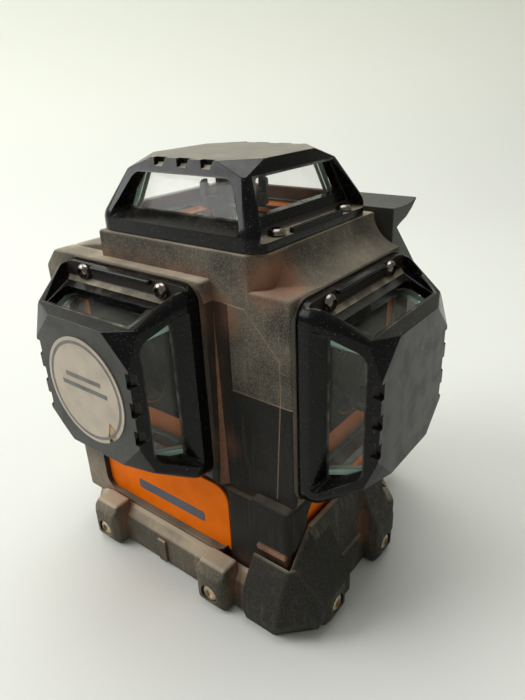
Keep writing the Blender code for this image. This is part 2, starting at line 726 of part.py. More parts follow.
def build_bumper():
    front, back = -LOWER_FRONT - SKIRT, BACK + SKIRT
    left, right = -LEFT - SKIRT, LOWER_RIGHT + SKIRT
    c = SKIRT_CORNER
    skirt = [(right, front + c), (right, back - c), (right - c, back), (left + c, back),
             (left, back - c), (left, front + SKIRT_NEAR_LEFT), (left + SKIRT_NEAR_LEFT, front),
             (right - c, front)]
    inner = [(x * (1 - SKIRT_SLOPE / LEFT), y * (1 - SKIRT_SLOPE / LOWER_FRONT)) for x, y in skirt]
    layers = [(skirt, 0), (skirt, SKIRT_TOP - SKIRT_SLOPE), (inner, SKIRT_TOP)]
    bumper = add("base_bumper", hull_mesh("base_bumper", layers), RUBBER)
    lug = lug_mesh()
    for k, (quarter, foot) in enumerate(lug_places()):
        tool = add(f"lug_{k + 1}", lug)
        tool.matrix_local = lug_matrix(quarter, foot)
        fuse(bumper, tool)
    far_x, far_y = right + LUG_OUT, front - CORNER_BLOCK_OUT
    low_x, high_y = CORNER_BLOCK_X, -CORNER_BLOCK_Y
    layers = []
    for height, reach in CORNER_BLOCK_ROWS:
        x = right - SKIRT + (far_x - right + SKIRT) * reach
        y = front + SKIRT + (far_y - front - SKIRT) * reach
        layers.append(([(low_x, y), (x - c, y), (x, y + c), (x, high_y), (right - SKIRT, high_y),
                        (low_x, front + SKIRT)], height * CORNER_BLOCK_H))
    fuse(bumper, add("corner_block", hull_mesh("corner_block", layers)))
    low_y, high_y = SIDE_WALL_Y
    layers = [(side_outline(reach, low_y, high_y), height) for height, reach in SIDE_WALL_ROWS]
    fuse(bumper, add("side_wall", hull_mesh("side_wall", layers)))
    layers = [(side_outline(reach, LUG_Y[1] - LUG_W / 2 * wide, LUG_Y[1] + LUG_W / 2 * wide), height)
              for height, wide, reach in BUTTRESS_ROWS]
    fuse(bumper, add("side_buttress", hull_mesh("side_buttress", layers)))
    cut(bumper, box("shell_nest", (-LEFT - GAP, -FRONT_SEAT - GAP, SHELL_BOTTOM - GAP),
                    (LOWER_RIGHT + GAP + TAB_PROUD, BACK + GAP, SIDE_WALL_ROWS[-1][0] + WALL)))
    ledge = BASE_LEDGE + WALL
    cut(bumper, box("foot_opening", (-LEFT + ledge, -LOWER_FRONT + ledge, -GAP),
                    (LOWER_RIGHT - ledge, BACK - ledge, SHELL_BOTTOM)))
    head = disc_profile(LUG_SCREW_R + GAP, -LUG_SCREW_H - GAP, LUG_SCREW_H)
    shank = disc_profile(SCREW_SHANK_R + 2 * GAP, -LUG_SCREW_REACH - 3 * GAP, -LUG_SCREW_H / 2)
    turn = Matrix.Rotation(math.pi / 2, 4, "X")
    out = Matrix.Translation((0, -LUG_OUT, LUG_SCREW_Z)) @ turn
    places = [lug_matrix(quarter, foot) @ out for quarter, foot in lug_places()]
    cut(bumper, add("lug_counterbores", copies_mesh("counterbores", turned_mesh("bore", head), places)))
    cut(bumper, add("lug_bores", copies_mesh("bores", turned_mesh("bore", shank, SMALL_SIDES), places)))


def build_base():
    inset = WALL + 2 * GAP
    plate = box("base_plate", (-LEFT + inset, -FRONT_CORNER + inset, SHELL_BOTTOM),
                (LOWER_RIGHT - inset, BACK - inset, BASE_TOP), DARK_PLASTIC)
    hole = turned_mesh("bush_hole", disc_profile(BUSH_R + GAP, 0, 2 * BASE_TOP), FINE_SIDES)
    cut(plate, add("bush_hole", hole))
    flange = BASE_TOP + GAP
    profile = [(BUSH_BORE, flange + BUSH_FLANGE), (BUSH_FLANGE_R, flange + BUSH_FLANGE),
               (BUSH_FLANGE_R, flange), (BUSH_R, flange), (BUSH_R, BUSH_FOOT), (BUSH_BORE, BUSH_FOOT),
               (BUSH_BORE, flange + BUSH_FLANGE)]
    add("tripod_bush", turned_mesh("tripod_bush", profile, FINE_SIDES), BRASS)
    magnet = disc_profile(MAGNET_R, flange + BUSH_FLANGE + GAP, MAGNET_TOP, BUSH_BORE + GAP)
    add("damper_magnet", turned_mesh("damper_magnet", magnet, FINE_SIDES), MAGNET)


# Rear console
SLOPE_ANGLE = math.atan2(SLOPE_FALL, CONSOLE_BACK - SLOPE_TOP_Y)
KEYPAD = empty("keypad_plane", ROOT, (BAY_X, (SLOPE_TOP_Y + CONSOLE_BACK) / 2, SLOPE_TOP_Z - SLOPE_FALL / 2),
               ((-1, 0, 0), (0, -math.cos(SLOPE_ANGLE), math.sin(SLOPE_ANGLE)),
                (0, math.sin(SLOPE_ANGLE), math.cos(SLOPE_ANGLE))))


def console_outline():
    """Side view in Y and Z: an upturned lip, a slope for the keys and a straight back."""
    lip_z = TOP_SEAT_Z + LIP_RISE
    tip = (CONSOLE_FRONT + LIP_REACH, lip_z + GAP)
    under = [(tip[0] - LIP_REACH * back, lip_z - LIP_T * drop) for back, drop in LIP_UNDER]
    under.append((SLOPE_TOP_Y + LIP_ROOT[0], SLOPE_TOP_Z + LIP_ROOT[1]))
    top = [(CONSOLE_FRONT + LIP_REACH * out, lip_z - LIP_T * drop) for out, drop in LIP_TOP]
    back = [(SLOPE_TOP_Y, SLOPE_TOP_Z), (CONSOLE_BACK, SLOPE_FOOT_Z), (CONSOLE_BACK, CONSOLE_BOTTOM),
            (CONSOLE_FRONT, CONSOLE_BOTTOM)]
    return top + list(reversed([tip] + under + back))


def build_terminal():
    """A block on the bay's front wall with a row of contacts that the pack meets."""
    wide, deep, tall = CONTACT
    foot, half_z = BAY_FRONT + GAP, tall / 2 + TERMINAL_MARGIN
    span = CONTACTS * CONTACT_PITCH
    terminal = box("battery_terminal", (BAY_X - span / 2, foot, CONTACT_Z - half_z),
                   (BAY_X + span / 2, foot + deep / 2, CONTACT_Z + half_z), BRASS)
    for k in range(CONTACTS):
        x = BAY_X + (k - (CONTACTS - 1) / 2) * CONTACT_PITCH
        fuse(terminal, box(f"contact_{k + 1}", (x - wide / 2, foot + deep / 4, CONTACT_Z - tall / 2),
                           (x + wide / 2, foot + deep, CONTACT_Z + tall / 2)))


def build_console():
    console = plate_along_x("rear_console", console_outline(), -CONSOLE_LEFT, CONSOLE_RIGHT, DARK_PLASTIC)
    cut(console, box("console_cavity", (-CONSOLE_LEFT + WALL, CONSOLE_FRONT - WALL, CONSOLE_BOTTOM + WALL),
                     (CONSOLE_RIGHT - WALL, BAY_FRONT - BAY_WALL, SLOPE_FOOT_Z)))
    cut(console, box("battery_bay", (BAY_X - BAY_W / 2, BAY_FRONT, BAY_BOTTOM),
                     (BAY_X + BAY_W / 2, CONSOLE_BACK + BAY_DEPTH, BAY_BOTTOM + BAY_H)))
    half_w, half_l = KEYPAD_W / 2, KEYPAD_L / 2
    cut(console, box("keypad_pocket", (-half_w - GAP, -half_l - GAP, -KEYPAD_POCKET),
                     (half_w + GAP, half_l + GAP, KEYPAD_POCKET), None, KEYPAD))
    half_y, half_z = PORT_W / 2 + PORT_MARGIN, PORT_L / 2 + PORT_MARGIN
    cut(console, box("port_pocket", (-CONSOLE_LEFT - WALL, PORT_Y - half_y, PORT_Z - half_z),
                     (-CONSOLE_LEFT + PORT_DEPTH, PORT_Y + half_y, PORT_Z + half_z)))
    build_terminal()
    board_y = BAY_FRONT - BAY_WALL - GAP - BOARD_T
    reach = WALL + BOARD_MARGIN
    box("circuit_board", (-CONSOLE_LEFT + reach, board_y, CONSOLE_BOTTOM + reach),
        (CONSOLE_RIGHT - reach, board_y + BOARD_T, SLOPE_FOOT_Z - BOARD_MARGIN), BOARD_GREEN)


def key_points():
    return [((k - (len(KEY_NAMES) - 1) / 2) * KEY_PITCH, 0, 0) for k in range(len(KEY_NAMES))]


def build_keypad():
    half_w, half_l = KEYPAD_W / 2, KEYPAD_L / 2
    panel = box("keypad_panel", (-half_w, -half_l, -KEYPAD_T), (half_w, half_l, 0), SOFT_GREY, KEYPAD)
    hole = turned_mesh("key_hole", disc_profile(KEY_R + KEY_GAP, -2 * KEYPAD_T, KEYPAD_T), BARREL_SIDES)
    cut(panel, add("key_holes", copies_mesh("key_holes", hole, at_points(key_points())), None, KEYPAD))
    flange_top = -KEYPAD_T - GAP
    flange_foot = -KEYPAD_POCKET + KEY_TRAVEL + GAP
    profile = [(0, KEY_PROUD), (KEY_R * KEY_CROWN, KEY_PROUD), (KEY_R, KEY_PROUD / 2), (KEY_R, flange_top),
               (KEY_FLANGE_R, flange_top), (KEY_FLANGE_R, flange_foot), (0, flange_foot)]
    key = turned_mesh("key", profile, BARREL_SIDES)
    for name, point in zip(KEY_NAMES, key_points()):
        add(name, key, RUBBER, KEYPAD, point)


def build_battery():
    low_x, high_x = BAY_X - BAY_W / 2 + PACK_FIT, BAY_X + BAY_W / 2 - PACK_FIT
    low_z, high_z = BAY_BOTTOM + PACK_FIT, BAY_BOTTOM + BAY_H - PACK_FIT
    pack = box("battery_pack", (low_x, PACK_FRONT, low_z), (high_x, PACK_BACK, high_z), DARK_PLASTIC)
    latch_top = high_z - LATCH_DROP
    cut(pack, box("latch_pocket", (BAY_X - LATCH_W / 2 - GAP, PACK_BACK - LATCH_T - GAP,
                                   latch_top - LATCH_H - LATCH_TRAVEL - 2 * GAP),
                  (BAY_X + LATCH_W / 2 + GAP, PACK_BACK + LATCH_T, latch_top + GAP)))
    latch = box("battery_latch", (BAY_X - LATCH_W / 2, PACK_BACK - LATCH_T, latch_top - LATCH_H),
                (BAY_X + LATCH_W / 2, PACK_BACK - GAP, latch_top), SOFT_GREY)
    round_edges(latch, GAP)


def build_port():
    inner = -CONSOLE_LEFT + PORT_DEPTH - GAP
    face = -CONSOLE_LEFT + 2 * GAP
    half_y, half_z = PORT_W / 2 + SOCKET_MARGIN, PORT_L / 2 + SOCKET_MARGIN
    socket = box("charge_socket", (face, PORT_Y - half_y, PORT_Z - half_z),
                 (inner, PORT_Y + half_y, PORT_Z + half_z), STEEL)
    slot_y, slot_z = PORT_W / 4, PORT_L / 2 - SOCKET_MARGIN
    cut(socket, box("socket_slot", (face - PORT_DEPTH, PORT_Y - slot_y, PORT_Z - slot_z),
                    (inner - SOCKET_MARGIN, PORT_Y + slot_y, PORT_Z + slot_z)))
    half_y, half_z = PORT_W / 2 + PORT_MARGIN + FLAP_MARGIN, PORT_L / 2 + PORT_MARGIN + FLAP_MARGIN
    hinge_out = GAP + FLAP_T * FLAP_HINGE
    hinge = empty("port_flap_hinge", ROOT, (-CONSOLE_LEFT - hinge_out, PORT_Y, PORT_Z + half_z - FLAP_T / 2))
    flap = box("port_flap", (FLAP_T * (FLAP_HINGE - 1), -half_y, FLAP_T / 2 - 2 * half_z),
               (FLAP_T * FLAP_HINGE, half_y, FLAP_T / 2), RUBBER, hinge)
    round_edges(flap, FLAP_T / 4)


# Lock
def build_lock():
    """A knob outside the left wall, a shaft through it and a paddle beside the pendulum's stem."""
    axis = empty("lock_axis", ROOT, (-LEFT, 0, LOCK_Z), ((0, 0, 1), (0, 1, 0), (-1, 0, 0)))
    crown = [(LOCK_KNOB_R * r, GAP + LOCK_KNOB_H * h) for r, h in LOCK_KNOB_ARC]
    profile = [(0, GAP + LOCK_KNOB_H), *crown, (LOCK_KNOB_R, GAP), (0, GAP)]
    knob = add("lock_knob", turned_mesh("lock_knob", profile, BARREL_SIDES), RUBBER, axis)
    grip_reach, grip_foot, grip_head = LOCK_GRIP
    grip = box("lock_knob_grip", (-LOCK_KNOB_R * grip_reach, -LOCK_SHAFT_R, GAP + LOCK_KNOB_H * grip_foot),
               (LOCK_KNOB_R * grip_reach, LOCK_SHAFT_R, GAP + LOCK_KNOB_H * grip_head), None, axis)
    fuse(knob, grip)
    length = LEFT - LOCK_PADDLE_X
    shaft_mesh = turned_mesh("lock_shaft", disc_profile(LOCK_SHAFT_R, -length + GAP, 0))
    shaft = add("lock_shaft", shaft_mesh, STEEL, axis)
    outline = arc((0, 0), LOCK_PADDLE_R, 0, 180, 12) + arc((0, 0), LOCK_BOSS_R, 180, 360, 8)
    paddle = plate_mesh("lock_paddle", outline, LOCK_PADDLE_T)
    fuse(shaft, add("lock_paddle", paddle, None, axis, (0, 0, -length + LOCK_PADDLE_T / 2)))


# Gimbal, pendulum and emitters
def build_gimbal():
    """A plate under the top seat carries the ring on X pins, and the ring carries the pendulum on Y pins."""
    top = TOP_SEAT_Z - WALL - GAP - GIMBAL_Z
    plate = box("gimbal_chassis", (-CHASSIS_X, -CHASSIS_Y, top - CHASSIS_T), (CHASSIS_X, CHASSIS_Y, top),
                ALUMINIUM, GIMBAL)
    for side in (1, -1):
        low_x, high_x = sorted((side * EAR_X, side * (EAR_X + EAR_T)))
        fuse(plate, box(f"chassis_ear_{side}", (low_x, -EAR_W / 2, -EAR_W / 2),
                        (high_x, EAR_W / 2, top - CHASSIS_T / 2), None, GIMBAL))
    hole = turned_mesh("chassis_hole", disc_profile(DECK_HOLE, -top, 2 * top), FINE_SIDES)
    cut(plate, add("chassis_hole", hole, None, GIMBAL, (0, 0, top)))
    turn_x, turn_y = (0, math.pi / 2, 0), (math.pi / 2, 0, 0)
    bearing_bore = turned_mesh("bearing_bore", disc_profile(BEARING_R + GAP, -2 * EAR_X, 2 * EAR_X))
    cut(plate, add("chassis_bearing_bore", bearing_bore, None, GIMBAL, (0, 0, 0), turn_x))
    ring_profile = disc_profile(RING_R, -RING_H / 2, RING_H / 2, RING_BORE)
    ring = add("gimbal_ring", turned_mesh("gimbal_ring", ring_profile, FINE_SIDES), ALUMINIUM, GIMBAL)
    cut(ring, add("ring_bearing_bore_y", bearing_bore, None, GIMBAL, (0, 0, 0), turn_y))
    quarter = Matrix.Rotation(math.pi / 2, 4, "Z")
    along_x = Matrix.Rotation(math.pi / 2, 4, "Y")
    pin = turned_mesh("pitch_pin", disc_profile(PIN_R, RING_R - GAP, EAR_X + EAR_T), SMALL_SIDES)
    pitch_profile = disc_profile(BEARING_R, EAR_X + GAP, EAR_X + GAP + BEARING_L, PIN_R + GAP)
    pitch_bearing = turned_mesh("pitch_bearing", pitch_profile)
    roll_profile = disc_profile(BEARING_R, RING_BORE + GAP, RING_R - GAP, PIN_R + GAP)
    roll_bearing = turned_mesh("roll_bearing", roll_profile)
    for name, place in (("right", along_x), ("left", quarter @ quarter @ along_x)):
        trunnion = add(f"{name}_pitch_pin", pin, None, GIMBAL)
        trunnion.matrix_local = place
        fuse(ring, trunnion)
        add(f"{name}_pitch_bearing", pitch_bearing, STEEL, GIMBAL).matrix_local = place
    for name, place in (("back", quarter @ along_x), ("front", quarter @ quarter @ quarter @ along_x)):
        add(f"{name}_roll_bearing", roll_bearing, STEEL, GIMBAL).matrix_local = place


def build_pendulum():
    """A cast block with a socket for each laser barrel, a hub on the gimbal and a stem to the damper."""
    half = BARREL_R + SOCKET_WALL
    front_x, front_z = FRONT_TURRET
    side_y, side_z = SIDE_TURRET
    top_back = TOP_SEAT_Z + GAP - BARREL_BACK - BARREL_L
    hub_foot = top_back - SOCKET_WALL

    def piece(name, low, high):
        shift = Vector((0, 0, GIMBAL_Z))
        return box(name, Vector(low) - shift, Vector(high) - shift, None, GIMBAL)

    front_back = -FRONT_SEAT - GAP + BARREL_BACK + BARREL_L
    side_back = SIDE_SEAT + GAP - BARREL_BACK - BARREL_L
    block = box("pendulum_block", (-HUB_HALF, -HUB_HALF, hub_foot - GIMBAL_Z),
                (HUB_HALF, HUB_HALF, RING_H), ALUMINIUM, GIMBAL)
    spine_foot = min(front_z, side_z) - half + SOCKET_WALL
    fuse(block, piece("spine", (-HUB_HALF + SOCKET_WALL, -HUB_HALF + SOCKET_WALL, spine_foot),
                      (HUB_HALF - SOCKET_WALL, HUB_HALF - SOCKET_WALL, hub_foot + SOCKET_WALL / 2)))
    fuse(block, piece("front_socket", (front_x - half, front_back - SOCKET_L, front_z - half),
                      (front_x + half, front_back + SOCKET_WALL, front_z + half)))
    fuse(block, piece("front_arm", (front_x, -STEM_HALF, front_z - STEM_HALF),
                      (0, front_back + SOCKET_WALL / 2, front_z + STEM_HALF)))
    fuse(block, piece("side_socket", (side_back - SOCKET_WALL, side_y - half, side_z - half),
                      (side_back + SOCKET_L, side_y + half, side_z + half)))
    fuse(block, piece("counterweight", (-WEIGHT_X, STEM_HALF - SOCKET_WALL, spine_foot - SOCKET_WALL),
                      (0, WEIGHT_Y, spine_foot - SOCKET_WALL + WEIGHT_H)))
    fuse(block, piece("stem", (-STEM_HALF, -STEM_HALF, DAMPER_Z + DAMPER_T + GAP),
                      (STEM_HALF, STEM_HALF, spine_foot + SOCKET_WALL)))
    foot = -BARREL_BACK - BARREL_L
    bore = turned_mesh("barrel_bore", disc_profile(BARREL_R + GAP, foot - GAP, 0), BARREL_SIDES)
    barrel = turned_mesh("laser_barrel", disc_profile(BARREL_R, foot, -BARREL_BACK - GAP), BARREL_SIDES)
    castle_profile = disc_profile(CASTLE_R, -BARREL_BACK, CASTLE_TOP + CASTLE_CAP)
    castle = turned_mesh("mirror_holder", castle_profile, BARREL_SIDES)
    castle_bore_profile = disc_profile(CASTLE_BORE, -2 * BARREL_BACK, CASTLE_TOP)
    castle_bore = turned_mesh("castle_bore", castle_bore_profile, BARREL_SIDES)
    opening = bmesh.new()
    bmesh.ops.create_cube(opening, size=1)
    opening_h = CASTLE_TOP - CASTLE_FOOT - 2 * GAP
    bmesh.ops.scale(opening, verts=opening.verts, vec=(4 * CASTLE_R, CASTLE_OPENING, opening_h))
    opening = to_mesh("castle_opening", opening)
    middle = (0, 0, (CASTLE_FOOT + CASTLE_TOP) / 2)
    mirror_top = CASTLE_TOP - GAP
    mirror_profile = [(0, mirror_top), (MIRROR_R, mirror_top), (0, mirror_top - MIRROR_L)]
    mirror = turned_mesh("cone_mirror", mirror_profile, BARREL_SIDES)
    for side, seat in SEATS.items():
        cut(block, add(f"{side}_barrel_bore", bore, None, seat))
        add(f"{side}_laser_barrel", barrel, ALUMINIUM, seat)
        holder = add(f"{side}_mirror_holder", castle, HOLDER_GREY, seat)
        cut(holder, add(f"{side}_castle_bore", castle_bore, None, seat))
        for k in (0, 1):
            turn = (0, 0, k * math.pi / 2)
            cut(holder, add(f"{side}_castle_opening_{k + 1}", opening, None, seat, middle, turn))
        add(f"{side}_cone_mirror", mirror, MIRROR, seat)
    pin = turned_mesh("roll_pin", disc_profile(PIN_R, HUB_HALF - SOCKET_WALL / 2, RING_R - GAP), SMALL_SIDES)
    for side in (1, -1):
        trunnion = add(f"roll_pin_{side}", pin, None, GIMBAL, (0, 0, 0), (-side * math.pi / 2, 0, 0))
        fuse(block, trunnion)
    damper = turned_mesh("damper_plate", disc_profile(DAMPER_R, 0, DAMPER_T), FINE_SIDES)
    add("damper_plate", damper, COPPER, GIMBAL, (0, 0, DAMPER_Z - GIMBAL_Z))


def build():
    body = build_body()
    build_turrets(body)
    build_labels()
    build_bumper()
    build_base()
    build_console()
    build_keypad()
    build_battery()
    build_port()
    build_lock()
    build_gimbal()
    build_pendulum()
    bpy.context.view_layer.update()


build()
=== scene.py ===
# %% [markdown]
# # A site-worn line laser with three turrets
#
# The object is a self-levelling line laser: a rubber-armoured body with three glass turrets, one on
# top, one in front and one on the side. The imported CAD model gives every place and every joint. This
# lesson puts the finished surfaces round it: rounded edges, dust in the corners, glass, labels and screws.

# %% The frame
import math

import bmesh
import bpy
from mathutils import Matrix, Vector


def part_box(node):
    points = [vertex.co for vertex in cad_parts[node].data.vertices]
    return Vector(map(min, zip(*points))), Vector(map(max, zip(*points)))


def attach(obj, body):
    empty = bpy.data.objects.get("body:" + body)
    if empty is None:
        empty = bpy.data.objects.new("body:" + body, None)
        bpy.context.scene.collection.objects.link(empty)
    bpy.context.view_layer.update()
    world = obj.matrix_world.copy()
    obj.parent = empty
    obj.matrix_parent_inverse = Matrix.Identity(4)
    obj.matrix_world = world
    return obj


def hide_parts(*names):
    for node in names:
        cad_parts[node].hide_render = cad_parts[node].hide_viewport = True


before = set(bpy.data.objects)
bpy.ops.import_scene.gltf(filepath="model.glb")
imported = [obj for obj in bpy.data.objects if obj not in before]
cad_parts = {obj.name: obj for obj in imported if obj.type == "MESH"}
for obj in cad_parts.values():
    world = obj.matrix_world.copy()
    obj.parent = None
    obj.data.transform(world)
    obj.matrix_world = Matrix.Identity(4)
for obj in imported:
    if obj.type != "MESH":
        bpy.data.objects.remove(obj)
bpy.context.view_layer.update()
MM = 0.001

# %% [markdown]
# Pieces are modelled in millimetres from the plumb axis, the vertical line through the tripod bush, and
# brought into the frame at the end. Each turret has a seat of its own: u runs across the notched sides,
# v across the screwed sides and w out of the body. One turret is modelled once and stood on three seats.

# %% Places taken from the frame
bush_low, bush_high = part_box("tripod_bush")
PLUMB = Vector(((bush_low.x + bush_high.x) / 2, (bush_low.y + bush_high.y) / 2, 0))
TO_FRAME = Matrix.Translation(PLUMB) @ Matrix.Scale(MM, 4)
TO_MM = TO_FRAME.inverted()


def box_mm(node):
    """A node's lowest and highest corners, in millimetres from the plumb axis."""
    return [TO_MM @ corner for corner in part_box(node)]


def seat_matrix(node, u, v, w):
    """The frame of a turret's seat, from the box of its cage."""
    low, high = box_mm(node)
    w = Vector(w)
    origin = (low + high) / 2 - w * abs((high - low).dot(w)) / 2
    return Matrix.Translation(origin) @ Matrix((u, v, w)).transposed().to_4x4()


SEATS = {
    "front": seat_matrix("front_turret_cage", (1, 0, 0), (0, 0, 1), (0, -1, 0)),
    "side": seat_matrix("side_turret_cage", (0, 1, 0), (0, 0, 1), (1, 0, 0)),
    "top": seat_matrix("top_turret_cage", (0, 1, 0), (-1, 0, 0), (0, 0, 1)),
}
for turret, seat in SEATS.items():
    print(turret, "seat at", [round(c, 1) for c in seat.translation])

# %% [markdown]
# ## Camera
#
# The photograph is a close shot from above the corner between the front and side turrets, held with a
# slight roll. A near camera with a wide lens gives the same strong perspective.

# %% Camera
AZIMUTH, ELEVATION, ROLL = (math.radians(a) for a in (38.75, 25.30, -2.51))
CAMERA_AIM = TO_FRAME @ Vector((5.16, 4.13, 75.92))
CAMERA_DISTANCE = 205.6 * MM
LENS = 29.54

back = Vector((math.sin(AZIMUTH) * math.cos(ELEVATION), -math.cos(AZIMUTH) * math.cos(ELEVATION),
               math.sin(ELEVATION)))
level = (-back).cross(Vector((0, 0, 1))).normalized()
upright = level.cross(-back)
right = math.cos(ROLL) * level + math.sin(ROLL) * upright
up = math.cos(ROLL) * upright - math.sin(ROLL) * level
camera = bpy.data.objects.new("camera", bpy.data.cameras.new("camera"))
camera.matrix_world = (Matrix.Translation(CAMERA_AIM + back * CAMERA_DISTANCE)
                       @ Matrix((right, up, back)).transposed().to_4x4())
camera.data.lens = LENS
camera.data.clip_start = 1 * MM
bpy.context.scene.collection.objects.link(camera)
bpy.context.scene.camera = camera
bpy.context.scene.view_settings.view_transform = "Standard"
print("camera", [round(c, 3) for c in camera.matrix_world.translation])

# %% [markdown]
# ## Shader sums in Python
#
# A node tree is easier to read as a sum. `Wire` wraps one output socket and turns `+`, `-` and `*`
# into Math nodes. `Finish` owns a material and adds any other node through one method.


# %% Wire and Finish
def screen(red, green, blue):
    """A colour read off a screen, 0 to 255, as the linear values that shaders use."""
    shares = [c / 255 for c in (red, green, blue)]
    return tuple(c / 12.92 if c <= 0.04045 else ((c + 0.055) / 1.055) ** 2.4 for c in shares) + (1.0,)


class Wire:
    """One output socket of a node, usable in sums."""

    def __init__(self, finish, socket):
        self.finish = finish
        self.socket = socket

    def maths(self, operation, a, b):
        return self.finish.node("Math", {"operation": operation}, {0: a, 1: b})

    def __add__(self, other):
        return self.maths("ADD", self, other)

    def __sub__(self, other):
        return self.maths("SUBTRACT", self, other)

    def __rsub__(self, other):
        return self.maths("SUBTRACT", other, self)

    def __mul__(self, other):
        return self.maths("MULTIPLY", self, other)

    def most(self, other):
        return self.maths("MAXIMUM", self, other)

    def least(self, other):
        return self.maths("MINIMUM", self, other)

    __radd__ = __add__
    __rmul__ = __mul__


class Finish:
    """A material, its Principled shader and the masks that the finishes share."""

    def __init__(self, name, **sockets):
        self.material = bpy.data.materials.new(name)
        self.material.use_nodes = True
        self.tree = self.material.node_tree
        self.shader = self.tree.nodes["Principled BSDF"]
        self.feed(**sockets)

    def node(self, kind, settings=None, sockets=None, output=0):
        made = self.tree.nodes.new("ShaderNode" + kind)
        for key, value in (settings or {}).items():
            setattr(made, key, value)
        for key, value in (sockets or {}).items():
            self.join(value, made.inputs[key])
        return Wire(self, made.outputs[output])

    def join(self, value, socket):
        if isinstance(value, Wire):
            self.tree.links.new(value.socket, socket)
        else:
            socket.default_value = value

    def feed(self, **sockets):
        for name, value in sockets.items():
            self.join(value, self.shader.inputs[name.replace("_", " ")])

    def place(self):
        return self.node("TexCoord", output="Object")

    def axes(self, vector):
        split = self.node("SeparateXYZ", None, {0: vector})
        return [Wire(self, output) for output in split.socket.node.outputs]

    def noise(self, scale, detail=3.0, stretch=(1, 1, 1)):
        place = self.node("VectorMath", {"operation": "MULTIPLY"}, {0: self.place(), 1: stretch})
        return self.node("TexNoise", None, {"Vector": place, "Scale": scale, "Detail": detail}, "Fac")

    def ramp(self, value, start, end):
        """0 before start, 1 after end, smooth between."""
        sockets = {"Value": value, "From Min": start, "From Max": end}
        return self.node("MapRange", {"interpolation_type": "SMOOTHSTEP"}, sockets)

    def blend(self, factor, a, b):
        return self.node("Mix", {"data_type": "RGBA"}, {0: factor, 6: a, 7: b}, 2)

    def corners(self, reach):
        """1 deep in a corner, 0 in the open."""
        return 1 - self.node("AmbientOcclusion", {"samples": 6}, {"Distance": reach * MM}, "AO")

    def edges(self, reach):
        """1 along an outer edge, 0 on a flat."""
        settings = {"samples": 6, "inside": True, "only_local": True}
        return 1 - self.node("AmbientOcclusion", settings, {"Distance": reach * MM}, "AO")

    def distance(self, spot):
        """Metres from a point that is given in millimetres from the plumb axis."""
        ends = {0: self.place(), 1: TO_FRAME @ Vector(spot)}
        return self.node("VectorMath", {"operation": "DISTANCE"}, ends, "Value")

    def facing_up(self):
        return self.axes(self.node("NewGeometry", output="Normal"))[2]

    def bump(self, height, depth):
        self.feed(Normal=self.node("Bump", None, {"Strength": 1.0, "Distance": depth * MM, "Height": height}))


print("shader helpers ready")

# %% [markdown]
# ## Finishes
#
# The rubber armour is dark grey under site dust. Dust stays where it can't be wiped off: on upward
# faces, deep in corners, along edges and on the low lugs that stand in it. The pale towards the lower left
# is partly painted light, raised where the window lights that side. The upper right side carries less
# dust. The corner mask comes from the Ambient Occlusion node, which looks at the shape and not
# at the camera. Brick-red dust keeps to the deepest corners and to three large stains.

# %% Rubber armour
# Pale dust; its tone is raised as painted light, where light grazes the dust
PALE_DUST_AND_LIGHT = screen(196, 182, 158)
RED_DUST = screen(146, 100, 75)
# The place of each stain, in millimetres from the plumb axis, and how far it reaches
RED_STAINS = [((34, -24, 116), 13), ((17, -33, 103), 11), ((16, -33, 60), 9)]


def rubber_finish(name, dark, grey, dust, grain, left_dust_and_light=0.1):
    made = Finish(name, Specular_IOR_Level=0.3)
    speckle = made.ramp(made.noise(3800, 3), 0.42, 0.68)
    specks = made.ramp(made.noise(2600, 2), 0.62, 0.72)
    cloud = made.ramp(made.noise(75, 5), 0.36, 0.68)
    streak = made.ramp(made.noise(700, 3, (1, 1, 0.06)), 0.48, 0.7)
    corner = made.corners(9)
    worn = made.ramp(made.edges(1.0), 0.3, 0.85)
    up_share = made.ramp(made.facing_up(), 0.45, 0.98)
    x, _, z = made.axes(made.place())
    # Pale towards the lower left: dust on the low lugs, and partly painted light on the lit left side
    low_left_dust_and_light = made.ramp(z, 52 * MM, 20 * MM) * made.ramp(x, 36 * MM, 14 * MM)
    high_left = made.ramp(z, 92 * MM, 108 * MM) * made.ramp(x, -36 * MM, -54 * MM)
    lie = up_share * (0.55 + 0.4 * made.ramp(corner, 0.05, 0.5)) + low_left_dust_and_light * (left_dust_and_light + 0.5 * up_share)
    # Less dust on the upper right side
    high_right = made.ramp(x, 36 * MM, 40 * MM) * made.ramp(z, 107 * MM, 111 * MM)
    lie = (lie + worn * 0.35 + high_left * left_dust_and_light) * (0.55 + 0.45 * cloud) * (1 - 0.6 * high_right)
    lie = (lie + 0.07 * speckle + 0.2 * specks + 0.1 * streak * cloud) * dust
    red_share = made.ramp(corner, 0.16, 0.6) * (0.2 + 0.8 * cloud) * (1 - 0.75 * up_share) * dust
    red_share = red_share * made.ramp(z, 2 * MM, 12 * MM)
    for spot, reach in RED_STAINS:
        stain = made.ramp(made.distance(spot), reach * MM, 2 * MM)
        red_share = red_share.most(stain * (0.4 + 0.6 * cloud) * dust)
    colour = made.blend(speckle * 0.55 + 0.45 * cloud, screen(*dark), screen(*grey))
    colour = made.blend(lie.least(0.9), colour, PALE_DUST_AND_LIGHT)
    colour = made.blend(red_share.least(0.7), colour, RED_DUST)
    made.feed(Base_Color=colour, Roughness=0.7 + 0.2 * cloud)
    made.bump(made.noise(3200, 2) + 0.5 * speckle, grain)
    return made.material


RUBBER = rubber_finish("dusty_rubber", (44, 41, 36), (112, 106, 94), 1.0, 0.1, 0.32)
BUMPER_RUBBER = rubber_finish("bumper_rubber", (30, 30, 26), (62, 60, 52), 1.35, 0.08)
